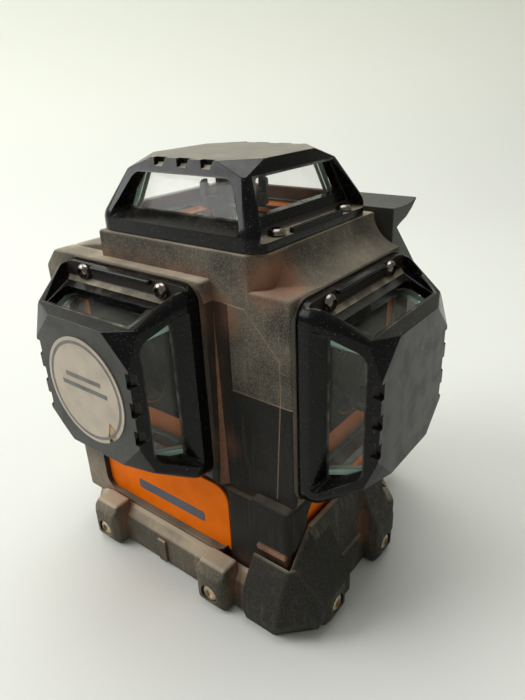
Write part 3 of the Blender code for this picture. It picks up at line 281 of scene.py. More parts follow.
# Darker rubber on the bumper's heavy corner; the darkness is partly painted shade of that corner
CORNER_RUBBER_AND_SHADE = rubber_finish("corner_rubber_and_shade", (24, 24, 22), (46, 45, 40), 0.5, 0.08)
SMOOTH_RUBBER = rubber_finish("smooth_rubber", (16, 16, 16), (28, 27, 26), 0.3, 0.02)
DUSTY_CORNER = rubber_finish("dusty_corner", (84, 62, 49), (170, 118, 88), 0.4, 0.08)
LINE_DUST = rubber_finish("line_dust", (150, 128, 106), (176, 154, 132), 0.4, 0.02)
print("rubber ready")

# %% [markdown]
# The turret cages are gloss black mouldings. Their edges are painted grey, partly for wear from handling
# and partly as painted highlight along them, and dust sits in their corners. Their front plates are matt,
# and the plates' upward faces are painted pale, partly dust and partly painted light from above. So each
# cage carries two finishes on its faces, and the floor of each flange channel a third, where dust has
# filled the moulding.


# %% Cage finishes
# The grey of the cages' edges: wear, and also painted highlight along them
EDGE_WEAR_AND_HIGHLIGHT_GREY = screen(146, 142, 134)


def cage_finish(name, black, gloss, roughness, wear_and_highlight, dust, dust_and_top_light):
    made = Finish(name, Specular_IOR_Level=gloss)
    cloud = made.ramp(made.noise(160, 4), 0.4, 0.7)
    specks = made.ramp(made.noise(2400, 1), 0.68, 0.76)
    # Grey edges: partly wear, partly painted highlight
    worn = made.ramp(made.edges(1.0), 0.4, 0.85) * (0.25 + 0.75 * cloud) * wear_and_highlight
    corner = made.ramp(made.corners(3), 0.45, 0.95) * dust
    up_share = made.ramp(made.facing_up(), 0.5, 1.0) * (0.4 + 0.6 * cloud)
    colour = made.blend(worn.least(0.75), screen(*black), EDGE_WEAR_AND_HIGHLIGHT_GREY)
    # Pale on upward faces: dust, and on the matt plates also painted light from above
    colour = made.blend(specks * 0.2 + up_share * dust_and_top_light, colour, PALE_DUST_AND_LIGHT)
    colour = made.blend((corner * (0.25 + 0.75 * cloud)).least(0.8), colour, RED_DUST)
    made.feed(Base_Color=colour, Roughness=roughness + 0.12 * cloud + 0.3 * corner)
    made.bump(made.noise(1800, 3), 0.015)
    return made.material


GLOSS_BLACK = cage_finish("gloss_black", (8, 9, 11), 0.18, 0.17, 0.6, 0.5, 0.03)
# The matt plate's large pale share is partly painted light on its upward faces
MATT_PLATE = cage_finish("matt_plate", (31, 31, 30), 0.45, 0.36, 0.9, 0.4, 0.45)
CHANNEL_DUST = cage_finish("channel_dust", (40, 34, 30), 0.25, 0.5, 0.3, 1.2, 0.8)
print("cage finishes ready")

# %% [markdown]
# Plain materials follow one recipe: a base colour, a second colour that comes and goes with noise, a
# little dust in corners and a fine bump. Brass and aluminium get a stretched noise, which reads as turning
# marks.


# %% Plain finishes
def plain_finish(name, colour, second, roughness, metallic=0.0, scale=300, grain=(1, 1, 1), depth=0.02,
                 gloss=0.5):
    made = Finish(name, Metallic=metallic, Specular_IOR_Level=gloss)
    cloud = made.ramp(made.noise(scale, 4), 0.35, 0.75)
    fine = made.noise(scale * 8, 2, grain)
    corner = made.ramp(made.corners(3), 0.4, 1.0)
    shade = made.blend(cloud * 0.7, screen(*colour), screen(*second))
    made.feed(Base_Color=made.blend(corner * 0.3, shade, RED_DUST))
    made.feed(Roughness=roughness + 0.16 * cloud - 0.08 * fine)
    made.bump(fine, depth)
    return made.material


STEEL = plain_finish("bright_steel", (140, 132, 126), (92, 80, 72), 0.2, 1.0, 700)
DULL_STEEL = plain_finish("dull_steel", (206, 192, 166), (170, 150, 122), 0.42, 1.0, 500)
BRASS = plain_finish("brass", (196, 164, 104), (150, 120, 72), 0.3, 1.0, 400, (1, 1, 6))
COPPER = plain_finish("copper", (196, 130, 98), (150, 92, 66), 0.35, 1.0, 300)
ALUMINIUM = plain_finish("aluminium", (188, 190, 192), (150, 152, 156), 0.35, 1.0, 250, (1, 1, 8))
MAGNET = plain_finish("nickel_magnet", (164, 164, 166), (120, 120, 124), 0.25, 1.0, 300)
MIRROR = plain_finish("mirror", (236, 236, 236), (220, 222, 224), 0.03, 1.0, 200, depth=0.002)
DARK_PLASTIC = plain_finish("dark_plastic", (48, 49, 45), (70, 68, 60), 0.5, 0.0, 120)
SOFT_GREY = plain_finish("soft_grey", (112, 111, 108), (92, 90, 86), 0.6, 0.0, 200)
HOLDER_GREY = plain_finish("holder_grey", (36, 38, 37), (50, 51, 48), 0.55, 0.0, 300)
# Black felt, a dark sheet laid on the decks as painted shade
PAINTED_SHADE_FELT = plain_finish("painted_shade_felt", (26, 28, 27), (38, 39, 37), 0.85, 0.0, 300, gloss=0.1)
# The deck orange is raised above the plastic's own: painted light for the light that the cage keeps off the
# deck
DECK_ORANGE_AND_LIGHT = plain_finish("orange_deck", (255, 136, 44), (248, 132, 54), 0.6, 0.0, 200)
LABEL_ORANGE = plain_finish("orange_label", (232, 110, 2), (216, 102, 8), 0.5, 0.0, 120, gloss=0.08)
BOARD_GREEN = plain_finish("board_green", (22, 92, 58), (16, 74, 46), 0.4, 0.0, 500)
CREAM_PAPER = plain_finish("cream_paper", (188, 175, 159), (168, 154, 138), 0.65, 0.0, 150)
TORN_PAPER = plain_finish("torn_paper", (176, 140, 98), (196, 168, 132), 0.8, 0.0, 400)
GLASS_EDGE = plain_finish("glass_edge", (150, 182, 170), (122, 156, 144), 0.25, 0.0, 200)
INK = plain_finish("blue_grey_ink", (72, 78, 92), (94, 96, 100), 0.5, 0.0, 200)
PALE_MARK = plain_finish("pale_mark", (204, 202, 194), (180, 178, 168), 0.6, 0.0, 300)
LAMP_GREEN = plain_finish("lamp_green", (70, 140, 84), (50, 110, 64), 0.2, 0.0, 300)
print("plain finishes ready")

# %% [markdown]
# The panes are thin clear glass with a film of dust. The dust is the Principled shader with a low Alpha
# that rises in clouds, specks and corners. A little of a sharp glossy shader on top gives the glint.


# %% Pane glass
def glass_finish(name, film, haze):
    made = Finish(name, Roughness=0.3, Base_Color=screen(*film))
    cloud = made.ramp(made.noise(120, 5), 0.42, 0.75)
    specks = made.ramp(made.noise(1500, 2), 0.64, 0.76)
    corner = made.ramp(made.corners(4), 0.55, 1.0)
    made.feed(Alpha=(haze * (0.3 + cloud + specks) + 0.1 * corner).least(0.7))
    clear = Wire(made, made.shader.outputs["BSDF"])
    glint = made.node("BsdfGlossy", None, {"Roughness": 0.03}, "BSDF")
    mixed = made.node("MixShader", None, {0: 0.012, 1: clear, 2: glint})
    made.join(mixed, made.tree.nodes["Material Output"].inputs["Surface"])
    return made.material


PANE_GLASS = glass_finish("pane_glass", (206, 204, 190), 0.03)
LENS_GLASS = glass_finish("lens_glass", (120, 150, 168), 0.3)
print("glass ready")

# %% [markdown]
# ## Modelling helpers
#
# A convex moulding is a block with planes sliced off it, as on a band saw. Windows, channels and pockets
# are cut with Boolean tools. Rounded edges come from a bevel on every edge that turns sharply.

# %% Blocks, prisms and turned shapes
SHARP = math.radians(24)
CORNER_STEPS = 5
LAY = {"X": Matrix(((0, 0, 1), (1, 0, 0), (0, 1, 0))), "Y": Matrix(((1, 0, 0), (0, 0, 1), (0, 1, 0))),
       "Z": Matrix.Identity(3)}


def block(low, high):
    low, high = Vector(low), Vector(high)
    bm = bmesh.new()
    bmesh.ops.create_cube(bm, size=1)
    bmesh.ops.scale(bm, vec=high - low, verts=bm.verts)
    bmesh.ops.translate(bm, vec=(low + high) / 2, verts=bm.verts)
    return bm


def prism(outline, low, high, along="Z"):
    """An outline drawn out along one axis: (y, z) points along X, (x, z) along Y, (x, y) along Z."""
    bm = bmesh.new()
    face = bm.faces.new([bm.verts.new((a, b, low)) for a, b in outline])
    made = bmesh.ops.extrude_face_region(bm, geom=[face])
    far = [v for v in made["geom"] if isinstance(v, bmesh.types.BMVert)]
    bmesh.ops.translate(bm, vec=(0, 0, high - low), verts=far)
    bmesh.ops.transform(bm, matrix=LAY[along].to_4x4(), verts=bm.verts)
    bmesh.ops.recalc_face_normals(bm, faces=bm.faces)
    return bm


def turned(profile, steps=32):
    """A profile of (radius, height) points spun round z."""
    bm = bmesh.new()
    verts = [bm.verts.new((r, 0, z)) for r, z in profile]
    edges = [bm.edges.new(pair) for pair in zip(verts, verts[1:])]
    bmesh.ops.spin(bm, geom=verts + edges, cent=(0, 0, 0), axis=(0, 0, 1), angle=2 * math.pi, steps=steps,
                   use_merge=True)
    bmesh.ops.remove_doubles(bm, verts=bm.verts, dist=0.001)
    bmesh.ops.recalc_face_normals(bm, faces=bm.faces)
    return bm


def rod(radius, low, high, steps=32):
    return turned([(0, high), (radius, high), (radius, low), (0, low)], steps)


def arc(centre, radius, start, end, steps):
    """Points of an arc from one angle to another, in degrees."""
    angles = [math.radians(start + (end - start) * k / steps) for k in range(steps + 1)]
    return [(centre[0] + radius * math.cos(a), centre[1] + radius * math.sin(a)) for a in angles]


def rounded(half_a, half_b, radius):
    """The outline of a rectangle with round corners."""
    outline = []
    for quarter, (sa, sb) in enumerate(((1, 1), (-1, 1), (-1, -1), (1, -1))):
        centre = (sa * (half_a - radius), sb * (half_b - radius))
        outline += arc(centre, radius, 90 * quarter, 90 * quarter + 90, CORNER_STEPS)
    return outline


def loft(layers):
    """A solid through outlines of equally many points, each at its own height."""
    bm = bmesh.new()
    loops = []
    for outline, height in layers:
        verts = [bm.verts.new((a, b, height)) for a, b in outline]
        loops.append([bm.edges.new(pair) for pair in zip(verts, verts[1:] + verts[:1])])
    for one, two in zip(loops, loops[1:]):
        bmesh.ops.bridge_loops(bm, edges=one + two)
    bmesh.ops.edgeloop_fill(bm, edges=loops[0])
    bmesh.ops.edgeloop_fill(bm, edges=loops[-1])
    bmesh.ops.recalc_face_normals(bm, faces=bm.faces)
    return bm


print("shape helpers ready")


# %% Slices, bevels and Booleans
def slice_off(bm, point, normal):
    """Saw a convex solid along a plane, drop what is in front of it and close the cut."""
    geom = bm.verts[:] + bm.edges[:] + bm.faces[:]
    cut = bmesh.ops.bisect_plane(bm, geom=geom, dist=1e-4, plane_co=point, plane_no=normal, clear_outer=True)
    bmesh.ops.edgeloop_fill(bm, edges=[e for e in cut["geom_cut"] if isinstance(e, bmesh.types.BMEdge)])
    return bm


def soften(bm, width, segments=2, edges=None):
    """Round the given edges, or every edge that turns sharply."""
    chosen = edges or [e for e in bm.edges if e.is_manifold and e.calc_face_angle() > SHARP]
    bmesh.ops.bevel(bm, geom=chosen, offset=width, offset_type="OFFSET", affect="EDGES", segments=segments,
                    profile=0.5, material=-1, clamp_overlap=True)
    return bm


def moved(bm, matrix):
    bmesh.ops.transform(bm, matrix=matrix, verts=bm.verts)
    return bm


def shifted(bm, x, y, z):
    return moved(bm, Matrix.Translation((x, y, z)))


def painted(bm, index):
    for face in bm.faces:
        face.material_index = index
    return bm


def joined(parts):
    """Several solids in one bmesh."""
    whole = bmesh.new()
    for part in parts:
        keep = bpy.data.meshes.new("part")
        part.to_mesh(keep)
        part.free()
        whole.from_mesh(keep)
        bpy.data.meshes.remove(keep)
    return whole


def as_object(bm, name):
    mesh = bpy.data.meshes.new(name)
    bm.to_mesh(mesh)
    bm.free()
    made = bpy.data.objects.new(name, mesh)
    bpy.context.scene.collection.objects.link(made)
    return made


def combined(bm, tools, operation):
    """Apply each tool to the solid in turn and return the cleaned result."""
    body = as_object(bm, "work")
    helpers = [as_object(tool, "tool") for tool in tools]
    for helper in helpers:
        change = body.modifiers.new("change", "BOOLEAN")
        change.operation = operation
        change.solver = "EXACT"
        change.object = helper
    graph = bpy.context.evaluated_depsgraph_get()
    graph.update()
    result = bmesh.new()
    result.from_mesh(body.evaluated_get(graph).to_mesh())
    for used in [body] + helpers:
        bpy.data.objects.remove(used, do_unlink=True)
    bmesh.ops.remove_doubles(result, verts=result.verts, dist=0.002)
    bmesh.ops.dissolve_limit(result, angle_limit=math.radians(0.6), verts=result.verts, edges=result.edges,
                             delimit={"MATERIAL"})
    return result


def carve(bm, *tools):
    return combined(bm, tools, "DIFFERENCE")


def fused(bm, *tools):
    return combined(bm, tools, "UNION")


def cad_copy(node):
    """A CAD node's solid in millimetres, merged and with its flat faces whole again."""
    bm = bmesh.new()
    bm.from_mesh(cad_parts[node].data)
    moved(bm, TO_MM)
    bmesh.ops.remove_doubles(bm, verts=bm.verts, dist=0.001)
    bmesh.ops.dissolve_limit(bm, angle_limit=math.radians(1), verts=bm.verts, edges=bm.edges)
    return bm


def piece(name, bm, finishes, slot, body, *nodes):
    """Make the object of a finished solid, let it ride on a body and stand for CAD nodes."""
    moved(bm, TO_FRAME)
    for face in bm.faces:
        face.smooth = True
    made = as_object(bm, name)
    for finish in finishes if isinstance(finishes, list) else [finishes]:
        made.data.materials.append(finish)
    made.data.set_sharp_from_angle(angle=math.radians(40))
    made.modifiers.new("even_shading", "WEIGHTED_NORMAL").keep_sharp = True
    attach(made, body)
    if nodes:
        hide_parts(*nodes)
    print(name, len(made.data.polygons), "faces")


print("Boolean and bevel helpers ready")

# %% [markdown]
# ## Turret cages
#
# A cage is a moulded frustum: an upright foot, sloping walls with a window each, and a thick octagonal
# front plate. Two opposite walls carry three notches at the plate's edge. The other two step in above a
# channel, where the flange screws stand between gussets.

# %% Cage sizes
BASE_U, BASE_V = 29.5, 32.0
CAGE_H = (box_mm("top_turret_cage")[1] - box_mm("top_turret_cage")[0]).z
FOOT_W, FLANGE = 5.0, 2.5
RIM_U, RIM_V, RIM_W = 22.9, 23.3, 18.0
FACE_U, FACE_V, FACE_CORNER = 21.7, 22.1, 9.5
WALL_U, WALL_V = 3.3, 2.7
CHANNEL_FOOT, CHANNEL_HEAD = 26.5, 22.8
NOTCH_PITCH = 9.3
SCREW_U, SCREW_V = 17.7, 29.3
print("cage height", round(CAGE_H, 2), "mm")


def cage_inner(w):
    """Half sizes of the room inside the cage at height w."""
    share = w / RIM_W
    half_u = (BASE_U - WALL_U) + (RIM_U - BASE_U) * share
    half_v = (CHANNEL_FOOT - WALL_V) + (RIM_V - WALL_U - CHANNEL_FOOT + WALL_V) * share
    return half_u, half_v


def tapered(bm, axis, start, end, scale, about=(0, 0, 0)):
    """Scale a solid across one axis, from 1 at start to the given scale at end."""
    for vert in bm.verts:
        share = (vert.co[axis] - start) / (end - start)
        for k in range(3):
            if k != axis:
                vert.co[k] = about[k] + (vert.co[k] - about[k]) * (1 + (scale[k] - 1) * share)
    return bm


def cut_corners(half_u, half_v, corner):
    """The outline of a rectangle with straight cut corners, point for point like a rounded one."""
    outline = []
    for quarter, (su, sv) in enumerate(((1, 1), (-1, 1), (-1, -1), (1, -1))):
        ends = [Vector((su * half_u, sv * (half_v - corner))), Vector((su * (half_u - corner), sv * half_v))]
        if quarter % 2:
            ends.reverse()
        outline += [tuple(ends[0].lerp(ends[1], k / CORNER_STEPS)) for k in range(CORNER_STEPS + 1)]
    return outline


def cage_block():
    base = rounded(BASE_U, BASE_V, 5)
    bm = loft([(base, 0), (base, FOOT_W), (rounded(RIM_U, RIM_V, 1.2), RIM_W),
               (cut_corners(FACE_U, FACE_V, FACE_CORNER), CAGE_H)])
    soften(bm, 1.6, 4, [e for e in bm.edges if all(abs(v.co.z - FOOT_W) < 0.01 for v in e.verts)])
    for face in bm.faces:
        face.material_index = int(face.calc_center_median().z > CAGE_H - 0.01)
    return soften(bm, 0.5, 2)


# %% Cage windows, channels and notches
def on_side(bm, sign):
    """Leave a tool on the positive side of the cage, or turn it half round to the other."""
    return moved(bm, Matrix.Rotation(0 if sign > 0 else math.pi, 4, "Z"))


def side_window(sign):
    """A tapering cutter through one notched wall: wide outside, closer at the pane."""
    outline = [(-25.2, 5.3), (25.2, 5.3), (20.9, 17.5), (-20.9, 17.5)]
    bm = prism(outline, 19, 33, "X")
    soften(bm, 2.2, 5, [e for e in bm.edges if abs(e.verts[0].co.x - e.verts[1].co.x) > 1])
    return on_side(tapered(bm, 0, 27, 19, (1, 0.82, 0.66), (0, 0, 17.2)), sign)


def flange_window(sign):
    outline = [(-22.6, 7.4), (22.6, 7.4), (19.4, 17.3), (-19.4, 17.3)]
    bm = prism(outline, 17, 33, "Y")
    soften(bm, 1.4, 4, [e for e in bm.edges if abs(e.verts[0].co.y - e.verts[1].co.y) > 1])
    return on_side(bm, sign)


def channel(sign):
    """The room above one screwed flange, between gussets that thin out towards the edge."""
    profile = [(26.0, 4.4), (27.4, FLANGE + 0.2), (BASE_V, FLANGE), (40, FLANGE), (40, 17.6),
               (CHANNEL_HEAD, 17.6)]
    bm = prism(profile, -1, 1, "X")
    for vert in bm.verts:
        half = 25.4 - 5.6 * (vert.co.z - FLANGE) / 15.1 + 0.28 * (vert.co.y - 24)
        vert.co.x *= half
    for face in bm.faces:
        face.material_index = 2 if face.calc_center_median().z < 4.3 else 0
    return on_side(bm, sign)


def notch(sign, k):
    """A pocket at the plate's edge, narrower at its floor."""
    inner, floor = FACE_U - 1.6, CAGE_H - 2.1
    profile = [(inner, CAGE_H + 1), (inner + 0.2, floor + 0.7), (inner + 1.0, floor),
               (inner + 7, floor - 0.8), (inner + 7, CAGE_H + 1)]
    bm = prism(profile, -1, 1, "Y")
    for vert in bm.verts:
        vert.co.y *= 1.7 + 0.36 * (vert.co.z - floor)
    for face in bm.faces:
        face.material_index = 2 if face.normal.z < -0.5 else 0
    return on_side(shifted(bm, 0, k * NOTCH_PITCH, 0), sign)


def rim_bar(sign):
    """A low bar along the flange's edge, between the two screws."""
    return on_side(soften(block((-13.6, 30.4, 1.0), (13.6, 31.9, 4.0)), 0.6, 3), sign)


def cage_solid():
    low, high = -1.0, RIM_W - 0.3
    cavity = block((-1, -1, low), (1, 1, high))
    for vert in cavity.verts:
        half_u, half_v = cage_inner(vert.co.z)
        vert.co.x *= half_u
        vert.co.y *= half_v
    shell = carve(cage_block(), channel(1), channel(-1))
    soften(shell, 0.35, 2, [e for e in shell.edges if e.is_manifold and e.calc_face_angle() > 0.8])
    shell = carve(shell, cavity, *[cut(s) for cut in (side_window, flange_window) for s in (1, -1)])
    shell = carve(shell, *[notch(s, k) for s in (1, -1) for k in (-1, 0, 1)])
    return fused(shell, rim_bar(1), rim_bar(-1))


CAGE = cage_solid()
for turret, seat in SEATS.items():
    piece(f"{turret}_cage", moved(CAGE.copy(), seat), [GLOSS_BLACK, MATT_PLATE, CHANNEL_DUST], "gloss_black",
          "housing", f"{turret}_turret_cage")

# %% [markdown]
# ## Panes
#
# Each cage holds four cut panes of 2 mm glass. Their ground edges are pale green, as on any thick glass,
# and show as bright lines at the corners. The edges are separate faces with their own finish.

# %% Panes
PANE = 2.0
PANE_FOOT, PANE_HEAD = 2.4, 17.1
PANE_FIT = 0.3


def pane(across_u, sign):
    """One pane leaning against the inside of a wall; the panes across v run the full width."""
    bm = block((-1, -1, PANE_FOOT), (1, 1, PANE_HEAD))
    for vert in bm.verts:
        half_u, half_v = cage_inner(vert.co.z)
        outer = (half_u if across_u else half_v) - PANE_FIT
        half = (half_v - PANE_FIT - PANE - 0.15) if across_u else (half_u - PANE_FIT)
        deep = outer if vert.co.x > 0 else outer - PANE
        vert.co.x, vert.co.y = deep, vert.co.y * half
    soften(bm, 0.15, 1)
    for face in bm.faces:
        face.material_index = 0 if abs(face.normal.x) > 0.9 else 1
    turn = (0 if sign > 0 else 180) + (0 if across_u else 90)
    return moved(bm, Matrix.Rotation(math.radians(turn), 4, "Z"))


for turret, seat in SEATS.items():
    lantern = joined([pane(across_u, s) for across_u in (True, False) for s in (1, -1)])
    piece(f"{turret}_panes", moved(lantern, seat), [PANE_GLASS, GLASS_EDGE], "pane_glass", "housing",
          f"{turret}_turret_glass")

# %% [markdown]
# ## Turret insides
#
# Inside a turret an orange deck closes the body, and a grey holder stands over the laser barrel like a
# small castle. It carries a cone mirror that spreads the beam all round. The holder is a turned tower,
# and its head is hollowed before the slots are cut, so that light shows between the merlons. It swings
# with the pendulum, so it rides on that body. A black felt sheet round the beam hole is painted shade:
# it stands where the deck lies in shadow and leaves only a border of the deck orange.

# %% Decks, mirror holders and lenses
HOLDER_R, HOLDER_NECK, HOLDER_TOP, CROWN_FOOT = 10.8, 7.2, 12.9, 9.4
HOLDER_BORE, WELL_R, SLOT_HALF, CROSS_REACH = 5.2, 9.2, 2.8, 12.0
BARREL_TOP = -1.3
SHADE_FELT_LOW, SHADE_FELT_HIGH, SHADE_FELT_HOLE = 1.45, 1.85, 13.2
# Half sizes of the painted-shade felt and how far it sits above the middle of the deck
TOP_SHADE_FELT, WALL_SHADE_FELT = (16.5, 14.0, 0.0), (20.0, 18.0, 4.0)


def cross(half, low, high, angle):
    """A plus-shaped cutter, turned round z."""
    arm = [Vector(point) for point in ((CROSS_REACH, half), (half, half), (half, CROSS_REACH))]
    turns = [Matrix.Rotation(quarter * math.pi / 2, 2) for quarter in range(4)]
    outline = [tuple(turn @ point) for turn in turns for point in arm]
    return moved(prism(outline, low, high), Matrix.Rotation(angle, 4, "Z"))


def mirror_holder():
    """A tower with a crown of four merlons and an opening under each."""
    head = [(HOLDER_R, 5.4), (HOLDER_R, HOLDER_TOP - 0.4), (HOLDER_R - 0.4, HOLDER_TOP), (0, HOLDER_TOP)]
    tower = turned([(0, -1), (HOLDER_NECK, -1), (HOLDER_NECK, 5.0), *head], 24)
    bore = rod(HOLDER_BORE, -2, CROWN_FOOT + 0.1, 24)
    well = rod(WELL_R, CROWN_FOOT, HOLDER_TOP + 1, 24)
    slots = cross(SLOT_HALF, CROWN_FOOT - 0.2, HOLDER_TOP + 1, 0)
    return carve(tower, bore, cross(3.0, 6.4, 8.6, math.pi / 4), well, slots)


for turret, seat in SEATS.items():
    deck = soften(moved(cad_copy(f"{turret}_turret_deck"), seat.inverted()), 0.25, 2)
    piece(f"{turret}_deck", moved(deck, seat), DECK_ORANGE_AND_LIGHT, "orange_deck", "housing", f"{turret}_turret_deck")
    piece(f"{turret}_holder", moved(mirror_holder(), seat), HOLDER_GREY, "holder_grey", "pendulum",
          f"{turret}_mirror_holder")
    half_u, half_v, lift = TOP_SHADE_FELT if turret == "top" else WALL_SHADE_FELT
    # The felt is painted shade: a dark sheet where the deck lies in shadow
    shade_felt = shifted(prism(rounded(half_u, half_v, 3), SHADE_FELT_LOW, SHADE_FELT_HIGH), 0, lift, 0)
    shade_felt = carve(shade_felt, rod(SHADE_FELT_HOLE, 0, 3, 48))
    piece(f"{turret}_felt", moved(shade_felt, seat), PAINTED_SHADE_FELT, "dark_plastic", "housing")
    dome = shifted(turned([(0, 1.7), (2.0, 1.3), (3.6, 0.15), (0, 0.15)]), 0, 0, BARREL_TOP)
    piece(f"{turret}_lens", moved(dome, seat), LENS_GLASS, "pane_glass", "pendulum")

# %% [markdown]
# ## Screws
#
# The cages are held by button-head screws with a hexagon socket. The head is a turned dome, and the
# socket is cut with a six-sided prism. The bumper has eight more, sunk in its lugs.


# %% Turret screws
SHANK_R = 1.2


def button_screw(radius, height, socket, reach):
    """A button-head screw standing on z = 0."""
    crown = [(radius * share, height * math.sqrt(1 - 0.9 * share ** 2)) for share in (0.6, 0.75, 0.88, 0.96)]
    shank = [(SHANK_R, 0), (SHANK_R, -reach), (0, -reach)]
    bm = turned([(0, height), *crown, (radius, 0.12), (radius - 0.15, 0), *shank], 28)
    hexagon = arc((0, 0), socket, 0, 300, 5)
    return carve(bm, prism(hexagon, height * 0.35, height + 1))


SCREW = button_screw(2.6, 2.0, 1.45, 6.0)
corners = [(su * SCREW_U, sv * SCREW_V) for su in (1, -1) for sv in (1, -1)]
for turret, seat in SEATS.items():
    for k, (u, v) in enumerate(corners):
        place = seat @ Matrix.Translation((u, v, FLANGE + 0.35))
        piece(f"{turret}_screw_{k + 1}", moved(SCREW.copy(), place), STEEL, "bright_steel", "housing",
              f"{turret}_turret_screw_{k + 1}")

# %% [markdown]
# ## Body shell
#
# The shell is a hard case with rubber moulded over it. It is a stack of blocks with rounded edges: the
# main block, a front block that carries the front turret, a pedestal under the top turret and a corner
# below. The blocks are joined first, with a hollow beside the front block and a cove beside the pedestal.
# Then the inner rooms, the label recesses, the grip grooves and the thin dusty lines are cut, and the
# lower front is painted smooth.

# %% Body blocks
LEFT, RIGHT, LOWER_RIGHT = -60.0, 42.6, 41.0
FRONT, CORNER_Y, LOWER_FRONT, REAR = -34.0, -30.0, -32.0, 33.0
FOOT_Z, SEAT_Z, LEDGE_Z, STEP_X = 12.0, 122.4, 112.5, 15.2
PEDESTAL_X = 32.6
HOLLOW_R, COVE_R = 5.6, 11.8
# Where the cove is, from the rear to the front, and the share of its full size
COVE_FADE = [(REAR - 1.5, 1.0), (-16.5, 1.0), (-18.0, 0.94), (-19.5, 0.8), (-21.0, 0.62), (-22.5, 0.45),
             (-24.0, 0.32), (-25.5, 0.23), (-27.5, 0.15)]


def body_blocks():
    main = prism([(LEFT, FOOT_Z), (LOWER_RIGHT, FOOT_Z), (LOWER_RIGHT, 43), (RIGHT, 46.5), (RIGHT, LEDGE_Z),
                  (-34, LEDGE_Z), (-54, LEDGE_Z), (LEFT, 107.9)], CORNER_Y, REAR, "Y")
    seat = prism([(-PEDESTAL_X, 105), (PEDESTAL_X, 105), (PEDESTAL_X, SEAT_Z), (-PEDESTAL_X, SEAT_Z)],
                 CORNER_Y, REAR, "Y")
    slice_off(seat, (PEDESTAL_X - 4.6, CORNER_Y, 0), (1, -1, 0))
    front = prism([(LEFT, FOOT_Z), (STEP_X, FOOT_Z), (STEP_X, 114), (-54, 114), (LEFT, 108)], FRONT, -25, "Y")
    shoulder = prism([(-34.1, 116.9), (-54, 113.9), (-54, 105), (-30, 105), (-30, 118)], -26, REAR - 1, "Y")
    corner = block((STEP_X - 3, LOWER_FRONT, FOOT_Z), (LOWER_RIGHT, -25, 43))
    tab = block((27, LOWER_FRONT - 1.5, 28.3), (LOWER_RIGHT + 1.5, -16.5, 45.5))
    ledge = block((29.0, LOWER_FRONT - 1.2, 25.6), (40.4, LOWER_FRONT + 2, 27.4))
    blocks = (main, seat, front, shoulder, corner, tab, ledge)
    for bm, width in zip(blocks, (1.3, 1.0, 1.3, 1.5, 1.0, 2.2, 0.5)):
        soften(bm, width, 3)
    return fused(main, seat, front, shoulder, painted(ledge, 3), painted(corner, 1), painted(tab, 1))


def front_hollow():
    """The soft hollow beside the front block, wider towards its foot."""
    outline = [(STEP_X - 2, CORNER_Y + 2), (STEP_X - 2, FRONT + 0.4), (STEP_X - 0.2, FRONT + 0.6)]
    outline += arc((STEP_X + HOLLOW_R, FRONT + 0.6), HOLLOW_R, 175, 100, 6)
    outline.append((STEP_X + HOLLOW_R, CORNER_Y + 2))
    bm = prism(outline, 44, 107.6)
    for vert in bm.verts:
        if vert.co.z > 100:
            vert.co.x = STEP_X - 2 + (vert.co.x - STEP_X + 2) * 0.62
    return painted(bm, 3)


def pedestal_cove():
    """The cove between the pedestal's side and the ledge, which fades out towards the front."""
    root = Vector((PEDESTAL_X - 2, LEDGE_Z - 2))
    curve = arc((PEDESTAL_X + 11.6, SEAT_Z + 1.6), COVE_R, 188, 262, 10)
    outline = [Vector(p) for p in (root, (root.x, SEAT_Z - 0.6), *curve, (RIGHT - 0.6, root.y))]
    bm = loft([([tuple(root + (p - root) * share) for p in outline], y) for y, share in COVE_FADE])
    moved(bm, LAY["Y"].to_4x4())
    bmesh.ops.recalc_face_normals(bm, faces=bm.faces)
    return bm


SHELL = fused(body_blocks(), front_hollow(), pedestal_cove())
print("shell blocks", len(SHELL.faces), "faces")


# %% Body cuts
def groove(points, width, depth, face_y):
    """Thin cutters along a line of (x, z) points on a face that looks to the front."""
    cutters = []
    for (x1, z1), (x2, z2) in zip(points, points[1:]):
        length, turn = math.hypot(x2 - x1, z2 - z1), math.atan2(z2 - z1, x2 - x1)
        bm = block((-width / 2, -1, -width / 2), (length + width / 2, depth, width / 2))
        cutters.append(moved(bm, Matrix.Translation((x1, face_y, z1)) @ Matrix.Rotation(-turn, 4, "Y")))
    return cutters


PARTING = [(19.5, 107.7), (26.4, 107.2), (38.1, 94.3), (38.1, 82.4), (35.8, 47)]
CREASE = [(20.6, 80.2), (44, 80.2)]
BEAM_HOLE, LOCK_HOLE = 13.0, 2.5
LOCK_AXIS = Matrix.Translation((LEFT, 0, 42)) @ Matrix.Rotation(-math.pi / 2, 4, "Y")


def body_cuts():
    front_recess = shifted(prism(rounded(32.2, 15.2, 6.5), FRONT - 3, LOWER_FRONT + 1, "Y"), -15, 0, 31.5)
    side_recess = shifted(prism(rounded(24, 13.4, 6.5), LOWER_RIGHT - 1, RIGHT + 3, "X"), 0, 0.25, 29.8)
    rooms = [block((-57, -27, 0), (38, 30, 106.4)), block((-54, -28.5, 0), (12.2, 0, 102.4)),
             block((-29.6, -25.5, 102), (29.6, 28.5, 119.4)), block((-14.5, 27, 42), (15.5, 36, 72))]
    holes = [moved(rod(BEAM_HOLE, -9, 0), seat) for seat in SEATS.values()]
    grips = [soften(block((LEFT - 2, y, 64), (LEFT + 0.7, y + 2.6, 98)), 0.5, 2) for y in range(-20, 21, 6)]
    shaft = moved(rod(LOCK_HOLE, -9, 9), LOCK_AXIS)
    dark = [painted(bm, 1) for bm in [front_recess, side_recess, shaft] + grips + rooms + holes]
    lines = groove(PARTING, 0.4, 0.2, CORNER_Y) + groove(CREASE, 0.4, 0.25, CORNER_Y)
    return dark + [painted(bm, 2) for bm in lines]


SHELL = carve(SHELL, *body_cuts())


